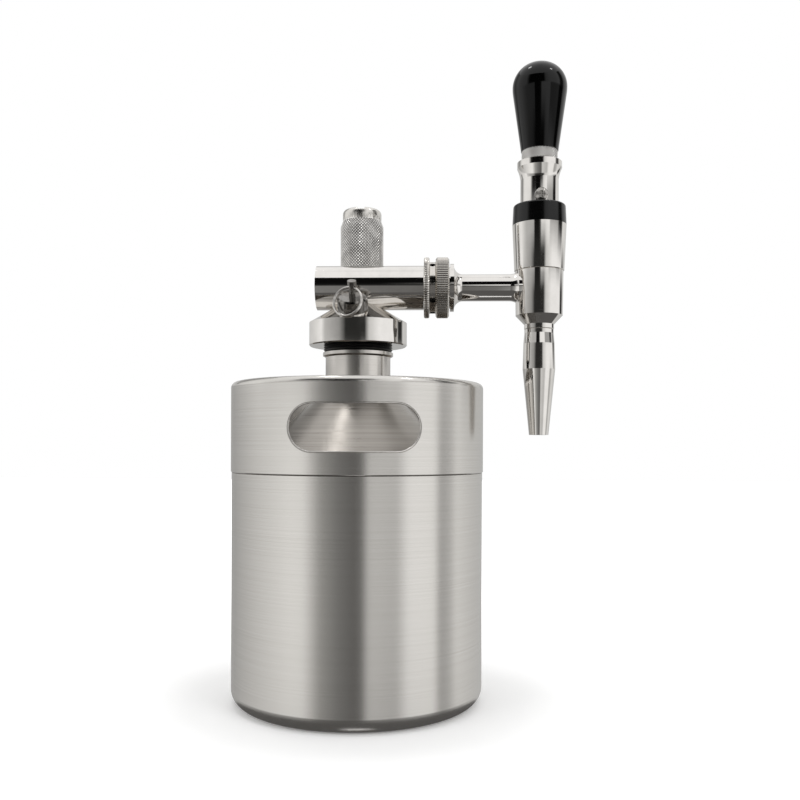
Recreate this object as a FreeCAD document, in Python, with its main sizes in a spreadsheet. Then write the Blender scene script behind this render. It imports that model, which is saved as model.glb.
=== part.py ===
# A two-litre mini keg with a screw-on dispensing head, a gas cartridge and a stout tap.
# Frame: origin on the keg's axis at the surface it stands on, +Z up, the tap's arm along +X,
# the relief valve to the front along -Y. Lengths are in millimetres, angles in degrees.
import FreeCAD, Part
import math
import os

import Sketcher

Vector = FreeCAD.Vector
Rotation = FreeCAD.Rotation
Placement = FreeCAD.Placement

# Driving dimensions
DIMENSIONS = {
    # Keg shell, shoulder, neck and handle ring
    "keg_radius": 67.5,
    "wall": 0.9,
    "base_round": 8.0,
    "base_dish": 2.0,
    "dish_radius": 50.0,
    "seam_z": 122.9,
    "ring_radius": 67.9,
    "ring_wall": 1.2,
    "ring_top_z": 170.5,
    "ring_round": 3.0,
    "ring_lip": 1.6,
    "slot_z": 145.8,
    "slot_height": 23.4,
    "slot_width": 63.6,
    "slot_turn": 3.3,
    "slot_lip": 1.0,
    "slot_lip_depth": 1.9,
    "slot_rebate": 0.5,
    "seam_edge": 0.4,
    "shoulder_overlap": 6.0,
    "shoulder_foot_radius": 66.6,
    "shoulder_knuckle_radius": 60.0,
    "shoulder_knuckle_z": 128.0,
    "shoulder_top_z": 167.0,
    "neck_radius": 17.6,
    "neck_bore": 15.1,
    "neck_foot_z": 162.0,
    "bead_radius": 19.05,
    "bead_foot_z": 184.8,
    "neck_top_z": 188.2,
    # Dispensing head
    "seal_radius": 18.7,
    "seal_bore": 14.9,
    "seal_waist": 0.7,
    "plug_radius": 14.6,
    "plug_foot_z": 173.0,
    "cap_radius": 26.5,
    "cap_foot_z": 190.95,
    "cap_top_z": 203.6,
    "cap_edge": 0.6,
    "cone_tip_radius": 6.0,
    "cone_tip_z": 215.75,
    "tube_radius": 11.9,
    "tube_z": 222.8,
    "tube_start_x": -22.4,
    "tube_end_x": 35.6,
    "beer_bore": 2.6,
    "dip_radius": 3.2,
    "dip_bore": 2.3,
    "dip_foot_z": 7.0,
    "dip_top_z": 197.0,
    "dip_seal_z": 176.0,
    "dip_seal_radius": 5.0,
    "dip_seal_height": 2.2,
    # Cartridge seat, cartridge and sleeve
    "cartridge_y": 24.5,
    "boss_radius": 12.3,
    "boss_foot_z": 193.0,
    "boss_top_z": 208.0,
    "post_radius": 10.4,
    "post_top_z": 216.0,
    "pocket_radius": 12.75,
    "pocket_top_z": 218.0,
    "gas_down_y": 10.0,
    "relief_gas_y": -12.6,
    "pin_foot_z": 195.5,
    "pin_radius": 2.5,
    "needle_radius": 0.8,
    "needle_top_z": 203.6,
    "gas_seal_z": 200.0,
    "gas_seal_height": 1.2,
    "gas_seal_radius": 4.2,
    "gas_bore": 1.2,
    "cartridge_radius": 9.3,
    "cartridge_neck": 3.8,
    "cartridge_length": 65.5,
    "cartridge_wall": 1.3,
    "sleeve_radius": 12.3,
    "sleeve_foot_z": 208.4,
    "sleeve_top_z": 271.4,
    "sleeve_bore": 9.65,
    "sleeve_thread": 10.7,
    "sleeve_thread_top_z": 217.0,
    "sleeve_band_z": 265.2,
    "sleeve_band_radius": 11.0,
    "sleeve_taper": 3.6,
    "sleeve_round": 2.6,
    "coin_slot_width": 4.2,
    "coin_slot_depth": 1.4,
    # Relief valve, in its own frame with its axis square to the cone
    "relief_x": -1.15,
    "relief_y": -19.2,
    "relief_z": 208.45,
    "relief_tilt": 30.4,
    "relief_turn": -24.0,
    "relief_radius": 8.0,
    "relief_height": 6.8,
    "relief_chamfer": 0.8,
    "relief_boss": 6.5,
    "spigot_radius": 4.0,
    "spigot_length": 4.6,
    "relief_cavity": 5.0,
    "relief_floor": 0.6,
    "relief_ceiling": 6.0,
    "vent_radius": 0.9,
    "vent_height": 1.9,
    "stem_radius": 1.7,
    "stem_fit": 0.08,
    "stem_disc_foot": 1.4,
    "stem_disc_height": 0.7,
    "stem_disc_radius": 4.4,
    "stem_head_foot": 13.6,
    "stem_top": 15.7,
    "stem_head_radius": 2.3,
    "stem_hole_height": 12.1,
    "stem_hole_radius": 0.95,
    "spring_wire": 0.3,
    "spring_radius": 3.3,
    "spring_pitch": 0.95,
    "spring_turns": 2.0,
    "spring_fit": 0.05,
    "relief_bore": 2.0,
    "relief_seal_radius": 3.6,
    "overshoot": 1.0,
    "riser_step": 0.3,
    "mouth_step": 0.6,
    "needle_taper": 1.2,
    "needle_tip": 0.2,
    "gas_seal_fit": 0.2,
    "cartridge_mouth_fit": 0.15,
    "cartridge_neck_height": 9.0,
    "cartridge_full_height": 20.0,
    "cartridge_dome_height": 8.0,
    "cartridge_dome_step": 2.8,
    "cartridge_dome_drop": 2.6,
    "cartridge_crown": 3.0,
    "cartridge_inside_step": 2.4,
    "cartridge_inside_drop": 2.2,
    "sleeve_ceiling_fit": 0.3,
    "sleeve_ceiling_step": 3.0,
    "sleeve_ceiling_drop": 4.0,
    "washer_fit": 0.4,
    "shaft_seal_fit": 0.05,
    "nozzle_seal_fit": 0.1,
    "straightener_fit": 0.05,
    "screw_seat_fit": 0.3,
    "screw_seat_depth": 3.0,
    "pull_ring_radius": 7.9,
    "pull_ring_wire": 0.6,
    "pull_ring_lean": 42.0,
    # Shank and coupling nut, measured along X from the keg's axis
    "shank_start_x": 18.0,
    "shank_radius": 7.4,
    "shank_collar_x": 44.4,
    "shank_collar_radius": 9.6,
    "shank_end_x": 46.2,
    "shank_bore": 3.2,
    "washer_thickness": 1.2,
    "nut_start_x": 35.8,
    "nut_lip_x": 38.7,
    "nut_groove_x": 42.1,
    "nut_end_x": 49.3,
    "nut_radius": 16.3,
    "nut_groove_radius": 13.8,
    "nut_bore": 7.7,
    "nut_cavity": 11.6,
    "nut_cavity_x": 43.8,
    "nut_edge": 0.5,
    "spanner_hole": 1.6,
    "spanner_depth": 2.9,
    # Faucet
    "faucet_x": 98.0,
    "thread_radius": 11.2,
    "flange_start_x": 49.9,
    "flange_end_x": 51.9,
    "flange_radius": 12.85,
    "flare_radius": 11.6,
    "arm_start_x": 56.2,
    "arm_radius": 7.2,
    "arm_round": 5.2,
    "body_top_radius": 12.95,
    "body_foot_radius": 12.6,
    "body_top_z": 231.6,
    "body_foot_z": 207.6,
    "body_neck_radius": 8.0,
    "body_neck_z": 202.8,
    "body_seam_z": 200.2,
    "joint_edge": 0.25,
    "arm_fillet_x": 82.0,
    "arm_fillet_end_x": 86.4,
    "arm_fillet_radius": 8.6,
    "arm_fillet_arc": 8.0,
    "chamber_radius": 9.4,
    "seat_z": 213.0,
    "seat_bore": 4.0,
    "socket_radius": 5.9,
    "socket_top_z": 206.5,
    "bonnet_top_radius": 14.5,
    "bonnet_foot_radius": 13.4,
    "bonnet_top_z": 256.2,
    "bonnet_plug_radius": 9.2,
    "bonnet_plug_z": 225.0,
    "shaft_radius": 3.0,
    "shaft_fit": 0.1,
    "packing_radius": 5.2,
    "packing_height": 2.6,
    "bonnet_seal_height": 1.6,
    "bearing_top_radius": 14.05,
    "bearing_top_z": 267.0,
    "bearing_round": 1.2,
    # Valve, lever and knob
    "seat_washer_radius": 6.2,
    "seat_washer_height": 1.6,
    "shaft_foot_height": 1.4,
    "pivot_z": 270.6,
    "eye_radius": 3.6,
    "eye_width": 5.6,
    "screw_radius": 1.5,
    "screw_fit": 0.08,
    "screw_head_radius": 3.3,
    "screw_head_height": 1.5,
    "screw_seat": 9.5,
    "screw_tip": 0.4,
    "cross_width": 0.8,
    "cross_length": 3.6,
    "cross_depth": 0.9,
    "collar_foot_z": 267.2,
    "collar_radius": 10.25,
    "collar_flare_z": 280.6,
    "collar_bead_radius": 12.0,
    "collar_bead_z": 287.0,
    "collar_top_z": 290.6,
    "collar_top_radius": 11.3,
    "collar_flare_arc": 18.0,
    "collar_edge": 0.5,
    "yoke_length": 12.8,
    "yoke_width": 6.2,
    "yoke_top_z": 275.6,
    "stud_radius": 4.0,
    "stud_foot_z": 278.0,
    "stud_top_z": 303.0,
    "ferrule_radius": 9.75,
    "ferrule_top_z": 296.4,
    "insert_radius": 6.0,
    "insert_top_z": 320.0,
    "knob_foot_radius": 10.0,
    "knob_swell_z": 327.2,
    "knob_swell_radius": 14.42,
    "knob_swell_arc": 25.0,
    "knob_dome_arc": 13.25,
    "knob_crown": 1.4,
    "knob_wide_z": 330.6,
    "knob_wide_radius": 14.65,
    "knob_top_z": 343.85,
    # Nozzle
    "nozzle_throat_z": 198.0,
    "nozzle_radius": 7.85,
    "nozzle_swell_z": 192.4,
    "nozzle_swell_radius": 8.35,
    "nozzle_wide_z": 178.6,
    "nozzle_wide_radius": 8.7,
    "nozzle_tip_z": 143.2,
    "nozzle_tip_radius": 5.2,
    "nozzle_plug_radius": 5.7,
    "nozzle_plug_z": 206.0,
    "nozzle_groove": 5.0,
    "nozzle_groove_z": 202.5,
    "nozzle_groove_height": 1.5,
    "straightener_radius": 4.6,
    "straightener_z": 190.0,
    "straightener_top_z": 204.4,
    "straightener_blade": 0.9,
    "nozzle_bore_top": 4.3,
    "nozzle_bore_tip": 4.1,
    "disc_thickness": 1.4,
    "disc_hole": 0.5,
    "disc_hole_circle": 2.6,
}

# Counts
SPANNER_HOLES = 8
RELIEF_VENTS = 4
DISC_HOLES = 5
STRAIGHTENER_BLADES = 3


class Size:
    """A length with its number and the expression that gives it in the document."""

    def __init__(self, number, text):
        self.number = number
        self.text = text

    def joined(self, other, sign, number):
        return Size(number, f"({self.text} {sign} {as_size(other).text})")

    def __add__(self, other):
        return self.joined(other, "+", self.number + as_size(other).number)

    def __sub__(self, other):
        return self.joined(other, "-", self.number - as_size(other).number)

    def __mul__(self, factor):
        return self.joined(factor, "*", self.number * as_size(factor).number)

    def __neg__(self):
        return Size(-self.number, f"(0 - {self.text})")

    __radd__ = __add__
    __rmul__ = __mul__


class Sizes:
    """The driving dimensions by name."""


def as_size(value):
    """Give a plain number the same two sides as a named length."""
    if isinstance(value, Size):
        return value
    return Size(float(value), f"{float(value)}")


doc = FreeCAD.newDocument("mini_keg")
sheet = doc.addObject("Spreadsheet::Sheet", "dims")
dim = Sizes()
for row, (alias, number) in enumerate(DIMENSIONS.items(), start=1):
    sheet.set(f"A{row}", alias.replace("_", " "))
    sheet.set(f"B{row}", str(number))
    sheet.setAlias(f"B{row}", alias)
    setattr(dim, alias, Size(float(number), f"dims.{alias}"))
doc.recompute()

nodes = []


# Helpers that build bound features
def bind(feature, prop, value):
    """Set one property from a named length."""
    size = as_size(value)
    if isinstance(value, Size):
        feature.setExpression(prop, size.text)
    else:
        setattr(feature, prop, size.number)


def place(feature, x=0, y=0, z=0, turn=Rotation()):
    """Put a feature at x, y, z with a turn, its place bound to the named lengths."""
    at = [as_size(value) for value in (x, y, z)]
    feature.Placement = Placement(Vector(*[value.number for value in at]), turn)
    for letter, value in zip("xyz", at):
        if "dims." in value.text:
            feature.setExpression(f"Placement.Base.{letter}", value.text)
    return feature


def node(feature, label):
    """Name a finished sub-part."""
    feature.Label = label
    nodes.append(feature)
    return feature


def arc_between(start, end, radius, side):
    """An arc from start to end that bulges left of the chord for side 1, and its end order."""
    chord = end - start
    half = chord.Length / 2
    depth = math.sqrt(max(radius * radius - half * half, 0.0))
    across = Vector(-chord.y, chord.x, 0).normalize()
    centre = (start + end) * 0.5 - across * depth * side
    first, last = (start, end) if side < 0 else (end, start)
    first_angle = math.atan2(first.y - centre.y, first.x - centre.x)
    last_angle = math.atan2(last.y - centre.y, last.x - centre.x)
    circle = Part.Circle(centre, Vector(0, 0, 1), radius)
    order = (1, 2) if side < 0 else (2, 1)
    return Part.ArcOfCircle(circle, first_angle, last_angle), order


def draw_outline(sketch, points, arcs):
    """Draw a closed outline in a sketch and fix every corner and radius by its length."""
    corners = [(as_size(across), as_size(up)) for across, up in points]
    flat = [Vector(across.number, up.number, 0) for across, up in corners]
    ends = []
    for index, start in enumerate(flat):
        end = flat[(index + 1) % len(flat)]
        if index in arcs:
            radius, side = arcs[index]
            arc, order = arc_between(start, end, as_size(radius).number, side)
            sketch.addGeometry(arc, False)
            ends.append(order)
        else:
            sketch.addGeometry(Part.LineSegment(start, end), False)
            ends.append((1, 2))
    for index, (across, up) in enumerate(corners):
        last = index - 1 if index else len(corners) - 1
        first_end = ends[index][0]
        sketch.addConstraint(Sketcher.Constraint("Coincident", last, ends[last][1], index, first_end))
        for kind, axis, size in (("DistanceX", -2, across), ("DistanceY", -1, up)):
            if size.number == 0:
                sketch.addConstraint(Sketcher.Constraint("PointOnObject", index, first_end, axis))
                continue
            rule = Sketcher.Constraint(kind, -1, 1, index, first_end, size.number)
            number = sketch.addConstraint(rule)
            if "dims." in size.text:
                sketch.setExpression(f"Constraints[{number}]", size.text)
    for index, (radius, _side) in arcs.items():
        number = sketch.addConstraint(Sketcher.Constraint("Radius", index, as_size(radius).number))
        if isinstance(radius, Size):
            sketch.setExpression(f"Constraints[{number}]", radius.text)


def body_sketch(body, plane, name):
    """A sketch on one of the body's own origin planes."""
    sketch = body.newObject("Sketcher::SketchObject", name)
    origin_plane = [item for item in body.Origin.OriginFeatures if item.Role == plane][0]
    sketch.AttachmentSupport = [(origin_plane, "")]
    sketch.MapMode = "FlatFace"
    return sketch


def turned(name, points, arcs=None):
    """A body turned about its own Z axis from an outline of radius and height."""
    body = doc.addObject("PartDesign::Body", name)
    sketch = body_sketch(body, "XZ_Plane", f"{name}_outline")
    draw_outline(sketch, points, arcs or {})
    solid = body.newObject("PartDesign::Revolution", f"{name}_turned")
    solid.Profile = sketch
    solid.ReferenceAxis = (sketch, ["V_Axis"])
    solid.Angle = 360
    body.Tip = solid
    return body


def cylinder(name, radius, height, x=0, y=0, z=0, turn=Rotation()):
    """A cylinder that grows from its place along its own Z axis."""
    solid = doc.addObject("Part::Cylinder", name)
    bind(solid, "Radius", radius)
    bind(solid, "Height", height)
    return place(solid, x, y, z, turn)


def cone(name, foot_radius, top_radius, height, z):
    """An upright cone on the Z axis."""
    solid = doc.addObject("Part::Cone", name)
    bind(solid, "Radius1", foot_radius)
    bind(solid, "Radius2", top_radius)
    bind(solid, "Height", height)
    return place(solid, 0, 0, z)


def box(name, length, width, height, x, y, z, turn=Rotation()):
    """A box whose corner is at its place."""
    solid = doc.addObject("Part::Box", name)
    bind(solid, "Length", length)
    bind(solid, "Width", width)
    bind(solid, "Height", height)
    return place(solid, x, y, z, turn)


def fuse(name, pieces):
    """Join solids into one."""
    solid = doc.addObject("Part::MultiFuse", name)
    solid.Shapes = pieces
    return solid


def cut(name, base, tool):
    """Take one solid out of another."""
    solid = doc.addObject("Part::Cut", name)
    solid.Base = base
    solid.Tool = tool
    return solid


def common(name, pieces):
    """Keep what solids share."""
    solid = doc.addObject("Part::MultiCommon", name)
    solid.Shapes = pieces
    return solid


def ring_section(inner, outer, low, high):
    """The four corners of a plain ring's section."""
    return [(inner, low), (outer, low), (outer, high), (inner, high)]


# Directions
ALONG_X = Rotation(Vector(0, 1, 0), 90)
ALONG_Y = Rotation(Vector(1, 0, 0), -90)


# Keg
def make_keg_body():
    """The drawn shell with its rounded foot and dished base."""
    outer = dim.keg_radius
    inner = dim.keg_radius - dim.wall
    foot = dim.keg_radius - dim.base_round
    points = [
        (0, dim.base_dish),
        (dim.dish_radius, dim.base_dish),
        (dim.dish_radius + dim.base_dish, 0),
        (foot, 0),
        (outer, dim.base_round),
        (outer, dim.seam_z - dim.seam_edge),
        (outer - dim.seam_edge, dim.seam_z),
        (inner, dim.seam_z),
        (inner, dim.base_round),
        (foot, dim.wall),
        (dim.dish_radius + dim.base_dish, dim.wall),
        (dim.dish_radius, dim.base_dish + dim.wall),
        (0, dim.base_dish + dim.wall),
    ]
    arcs = {3: (dim.base_round, -1), 8: (dim.base_round - dim.wall, 1)}
    node(turned("keg_body", points, arcs), "keg_body")


def make_keg_shoulder():
    """The cone-shaped shoulder that closes the shell and carries the neck."""
    lower = dim.seam_z - dim.shoulder_overlap
    foot_inner = dim.shoulder_foot_radius - dim.wall
    points = [
        (foot_inner, lower),
        (dim.shoulder_foot_radius, lower),
        (dim.shoulder_foot_radius, dim.seam_z),
        (dim.shoulder_knuckle_radius, dim.shoulder_knuckle_z),
        (dim.neck_radius, dim.shoulder_top_z),
        (dim.neck_radius, dim.shoulder_top_z - dim.wall * 1.4),
        (dim.shoulder_knuckle_radius - dim.wall, dim.shoulder_knuckle_z - dim.wall),
        (foot_inner, dim.seam_z),
    ]
    arcs = {2: (dim.base_round, 1), 6: (dim.base_round - dim.wall, -1)}
    node(turned("keg_shoulder", points, arcs), "keg_shoulder")


def make_keg_neck():
    """The threaded neck with its rolled bead."""
    bead_half = (dim.neck_top_z - dim.bead_foot_z) * 0.5
    points = [
        (dim.neck_bore, dim.neck_foot_z),
        (dim.neck_radius, dim.neck_foot_z),
        (dim.neck_radius, dim.bead_foot_z),
        (dim.bead_radius, dim.bead_foot_z + bead_half * 0.5),
        (dim.bead_radius, dim.neck_top_z - bead_half * 0.5),
        (dim.neck_radius, dim.neck_top_z),
        (dim.neck_bore, dim.neck_top_z),
    ]
    node(turned("keg_neck", points), "keg_neck")


def stadium_prism(name, height, length, reach):
    """A bar of stadium section that runs through the ring along Y at the slot's height."""
    radius = height * 0.5
    half = (length - height) * 0.5
    left = cylinder(f"{name}_left", radius, reach * 2, -half, -reach, dim.slot_z, ALONG_Y)
    right = cylinder(f"{name}_right", radius, reach * 2, half, -reach, dim.slot_z, ALONG_Y)
    middle = box(f"{name}_middle", half * 2, reach * 2, height, -half, -reach, dim.slot_z - radius)
    return fuse(name, [left, right, middle])


def make_handle_ring():
    """The rolled ring above the seam, with a hand slot at the front and at the back."""
    outer = dim.ring_radius
    inner = dim.ring_radius - dim.ring_wall
    turn_z = dim.ring_top_z - dim.ring_round
    crown = dim.ring_radius - dim.ring_round
    points = [
        (inner, dim.seam_z),
        (outer - dim.seam_edge, dim.seam_z),
        (outer, dim.seam_z + dim.seam_edge),
        (outer, turn_z),
        (crown, dim.ring_top_z),
        (crown - dim.ring_lip, dim.ring_top_z),
        (crown - dim.ring_lip, dim.ring_top_z - dim.ring_wall),
        (crown, dim.ring_top_z - dim.ring_wall),
        (inner, turn_z),
    ]
    arcs = {3: (dim.ring_round, -1), 7: (dim.ring_round - dim.ring_wall, 1)}
    ring = turned("ring_shell", points, arcs)
    lip_inner = inner - dim.slot_lip_depth
    lip_low = dim.slot_z - dim.slot_height
    lip_high = dim.slot_z + dim.slot_height
    band = turned("lip_band", ring_section(lip_inner, inner, lip_low, lip_high))
    reach = dim.ring_radius + dim.overshoot
    lip_height = dim.slot_height + dim.slot_lip * 2
    lip_bar = stadium_prism("lip_bar", lip_height, dim.slot_width + dim.slot_lip * 2, reach)
    lip = common("slot_lips", [band, lip_bar])
    slot_bar = stadium_prism("slot_bar", dim.slot_height, dim.slot_width, reach)
    rim = turned("rebate_band", ring_section(outer - dim.slot_rebate, outer + dim.overshoot, lip_low, lip_high))
    rim_height = dim.slot_height + dim.slot_rebate * 2
    rim_bar = stadium_prism("rebate_bar", rim_height, dim.slot_width + dim.slot_rebate * 2, reach)
    rebate = common("slot_rebates", [rim, rim_bar])
    shell = cut("handle_ring", fuse("ring_with_lips", [ring, lip]), fuse("slot_tools", [slot_bar, rebate]))
    node(place(shell, turn=Rotation(Vector(0, 0, 1), dim.slot_turn.number)), "handle_ring")


# Dispensing head
RELIEF_TILT = Rotation(Vector(1, 0, 0), dim.relief_tilt.number)
RELIEF_TURN = RELIEF_TILT * Rotation(Vector(0, 0, 1), dim.relief_turn.number)
RELIEF_AXIS = RELIEF_TURN.multVec(Vector(0, 0, 1))


def relief_place(feature):
    """Stand a piece of the relief valve on the cone, square to it."""
    return place(feature, dim.relief_x, dim.relief_y, dim.relief_z, RELIEF_TURN)


def relief_cylinder(name, radius, start, length):
    """A cylinder on the relief valve's axis, from a distance along it."""
    at = RELIEF_AXIS * start
    x = dim.relief_x + at.x
    y = dim.relief_y + at.y
    z = dim.relief_z + at.z
    return cylinder(name, radius, length, x, y, z, RELIEF_TURN)


def make_neck_seal():
    """The two-ribbed rubber seal between the cap and the neck's bead."""
    low = dim.neck_top_z
    high = dim.cap_foot_z
    middle = (low + high) * 0.5
    waist = dim.seal_radius - dim.seal_waist
    quarter = (high - low) * 0.25
    points = [
        (dim.seal_bore, low),
        (waist, low),
        (dim.seal_radius, low + quarter),
        (waist, middle),
        (dim.seal_radius, high - quarter),
        (waist, high),
        (dim.seal_bore, high),
    ]
    node(turned("neck_seal", points), "neck_seal")


def make_head_body():
    """The cap, plug, cone, cross tube, valve boss and cartridge seat as one casting."""
    edge = dim.cap_edge
    points = [
        (0, dim.plug_foot_z),
        (dim.plug_radius - edge, dim.plug_foot_z),
        (dim.plug_radius, dim.plug_foot_z + edge),
        (dim.plug_radius, dim.cap_foot_z),
        (dim.cap_radius - edge, dim.cap_foot_z),
        (dim.cap_radius, dim.cap_foot_z + edge),
        (dim.cap_radius, dim.cap_top_z),
        (dim.cone_tip_radius, dim.cone_tip_z),
        (0, dim.cone_tip_z),
    ]
    cap = turned("cap_and_plug", points)
    length = dim.tube_end_x - dim.tube_start_x
    tube = cylinder("cross_tube", dim.tube_radius, length, dim.tube_start_x, 0, dim.tube_z, ALONG_X)
    seat_y = dim.cartridge_y
    # The boss and post reach past the pocket's floor, and the pocket trims the boss
    boss_height = dim.boss_top_z - dim.boss_foot_z + dim.overshoot
    boss = cylinder("seat_boss", dim.boss_radius, boss_height, 0, seat_y, dim.boss_foot_z)
    relief_boss = relief_cylinder("relief_boss", dim.relief_radius, -dim.relief_boss.number, dim.relief_boss)
    casting = fuse("casting", [cap, tube, boss, relief_boss])
    pocket_height = dim.pocket_top_z - dim.boss_top_z
    pocket = cylinder("sleeve_pocket", dim.pocket_radius, pocket_height, 0, seat_y, dim.boss_top_z)
    post_foot_z = dim.boss_top_z - dim.overshoot
    post = cylinder("seat_post", dim.post_radius, dim.post_top_z - post_foot_z, 0, seat_y, post_foot_z)
    solid = fuse("head_solid", [cut("pocketed_casting", casting, pocket), post])

    dip_hole = cylinder("dip_hole", dim.dip_radius, dim.dip_top_z - dim.plug_foot_z, 0, 0, dim.plug_foot_z)
    seal_hole = cylinder("dip_seal_hole", dim.dip_seal_radius, dim.dip_seal_height, 0, 0, dim.dip_seal_z)
    riser_radius = dim.beer_bore - dim.riser_step
    riser = cylinder("riser", riser_radius, dim.tube_z - dim.dip_top_z, 0, 0, dim.dip_top_z)
    cross_start = -dim.beer_bore * 2
    cross_length = dim.shank_start_x - cross_start
    cross = cylinder("cross_bore", dim.beer_bore, cross_length, cross_start, 0, dim.tube_z, ALONG_X)
    shank_length = dim.tube_end_x - dim.shank_start_x
    shank_x = dim.shank_start_x
    shank_hole = cylinder("shank_hole", dim.shank_radius, shank_length, shank_x, 0, dim.tube_z, ALONG_X)
    beer_way = fuse("beer_way", [dip_hole, seal_hole, riser, cross, shank_hole])
    mouth_foot = dim.gas_seal_radius - dim.mouth_step
    mouth_radius = mouth_foot + (dim.post_top_z - dim.boss_top_z) * 0.6
    points = [
        (0, dim.pin_foot_z),
        (dim.pin_radius, dim.pin_foot_z),
        (dim.pin_radius, dim.gas_seal_z),
        (dim.gas_seal_radius, dim.gas_seal_z),
        (dim.gas_seal_radius, dim.boss_top_z),
        (mouth_radius, dim.post_top_z),
        (mouth_radius, dim.pocket_top_z),
        (0, dim.pocket_top_z),
    ]
    seat = place(turned("cartridge_seat", points), 0, seat_y, 0)
    back = Rotation(Vector(1, 0, 0), 90)
    gas_run = seat_y - dim.gas_down_y
    gas_z = dim.pin_foot_z + dim.overshoot
    gas_cross = cylinder("gas_cross", dim.gas_bore, gas_run, 0, seat_y, gas_z, back)
    gas_rise = gas_z - dim.plug_foot_z
    gas_down = cylinder("gas_down", dim.gas_bore * 1.1, gas_rise, 0, dim.gas_down_y, dim.plug_foot_z)
    gas_way = fuse("gas_way", [seat, gas_cross, gas_down])
    spigot_reach = dim.spigot_length + dim.overshoot
    relief_hole = relief_cylinder("relief_hole", dim.spigot_radius, -dim.spigot_length.number, spigot_reach)
    relief_rise = dim.relief_z - dim.plug_foot_z - dim.overshoot
    gas_y = dim.relief_gas_y
    relief_gas = cylinder("relief_gas", dim.gas_bore, relief_rise, dim.relief_x, gas_y, dim.plug_foot_z)
    relief_way = fuse("relief_way", [relief_hole, relief_gas])
    bored = cut("beer_bored", solid, beer_way)
    gas_bored = cut("gas_bored", bored, gas_way)
    node(cut("head_body", gas_bored, relief_way), "head_body")


def make_dip_tube():
    """The tube that draws from the keg's floor, and its seal in the plug."""
    points = ring_section(dim.dip_bore, dim.dip_radius, dim.dip_foot_z, dim.dip_top_z)
    node(turned("dip_tube", points), "dip_tube")
    top = dim.dip_seal_z + dim.dip_seal_height
    points = ring_section(dim.dip_radius, dim.dip_seal_radius, dim.dip_seal_z, top)
    node(turned("dip_tube_seal", points), "dip_tube_seal")


def make_cartridge():
    """The piercing pin, the seal, the gas cartridge and the screw-on sleeve."""
    taper_z = dim.needle_top_z - dim.needle_taper
    points = [
        (0, dim.pin_foot_z),
        (dim.pin_radius, dim.pin_foot_z),
        (dim.pin_radius, dim.gas_seal_z),
        (dim.needle_radius, dim.gas_seal_z),
        (dim.needle_radius, taper_z),
        (dim.needle_tip, dim.needle_top_z),
        (0, dim.needle_top_z),
    ]
    node(place(turned("piercing_pin", points), 0, dim.cartridge_y, 0), "piercing_pin")

    seat_top = dim.gas_seal_z + dim.gas_seal_height
    bore = dim.needle_radius + dim.gas_seal_fit
    points = ring_section(bore, dim.gas_seal_radius, dim.gas_seal_z, seat_top)
    node(place(turned("cartridge_seal", points), 0, dim.cartridge_y, 0), "cartridge_seal")

    low = seat_top
    high = seat_top + dim.cartridge_length
    neck = dim.cartridge_neck
    inner = dim.cartridge_radius - dim.cartridge_wall
    neck_inner = neck - dim.cartridge_wall
    neck_z = low + dim.cartridge_neck_height
    full_z = low + dim.cartridge_full_height
    dome_z = high - dim.cartridge_dome_height
    mouth = dim.needle_radius + dim.cartridge_mouth_fit
    ceiling = high - dim.cartridge_wall
    points = [
        (mouth, low),
        (neck, low),
        (neck, neck_z),
        (dim.cartridge_radius, full_z),
        (dim.cartridge_radius, dome_z),
        (dim.cartridge_radius - dim.cartridge_dome_step, high - dim.cartridge_dome_drop),
        (dim.cartridge_crown, high),
        (0, high),
        (0, ceiling),
        (dim.cartridge_inside_step, ceiling),
        (inner - dim.cartridge_inside_step, ceiling - dim.cartridge_inside_drop),
        (inner, dome_z),
        (inner, full_z),
        (neck_inner, neck_z),
        (neck_inner, low + dim.cartridge_wall),
        (mouth, low + dim.cartridge_wall),
    ]
    node(place(turned("gas_cartridge", points), 0, dim.cartridge_y, 0), "gas_cartridge")

    inner_top = high + dim.sleeve_ceiling_fit
    outer = dim.sleeve_radius
    band = dim.sleeve_band_radius
    points = [
        (dim.sleeve_thread, dim.sleeve_foot_z),
        (outer, dim.sleeve_foot_z),
        (outer, dim.sleeve_band_z - dim.sleeve_taper),
        (band, dim.sleeve_band_z),
        (band, dim.sleeve_top_z - dim.sleeve_round),
        (band - dim.sleeve_round, dim.sleeve_top_z),
        (0, dim.sleeve_top_z),
        (0, inner_top),
        (dim.sleeve_bore - dim.sleeve_ceiling_step, inner_top),
        (dim.sleeve_bore, inner_top - dim.sleeve_ceiling_drop),
        (dim.sleeve_bore, dim.sleeve_thread_top_z),
        (dim.sleeve_thread, dim.sleeve_thread_top_z),
    ]
    sleeve = turned("sleeve_shell", points, {4: (dim.sleeve_round, -1)})
    place(sleeve, 0, dim.cartridge_y, 0)
    width = dim.coin_slot_width
    reach = dim.sleeve_radius
    low = dim.sleeve_top_z - dim.coin_slot_depth
    start_y = dim.cartridge_y - reach
    slot_height = dim.coin_slot_depth + dim.overshoot
    coin_slot = box("coin_slot", width, reach * 2, slot_height, -width * 0.5, start_y, low)
    node(cut("cartridge_sleeve", sleeve, coin_slot), "cartridge_sleeve")


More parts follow.
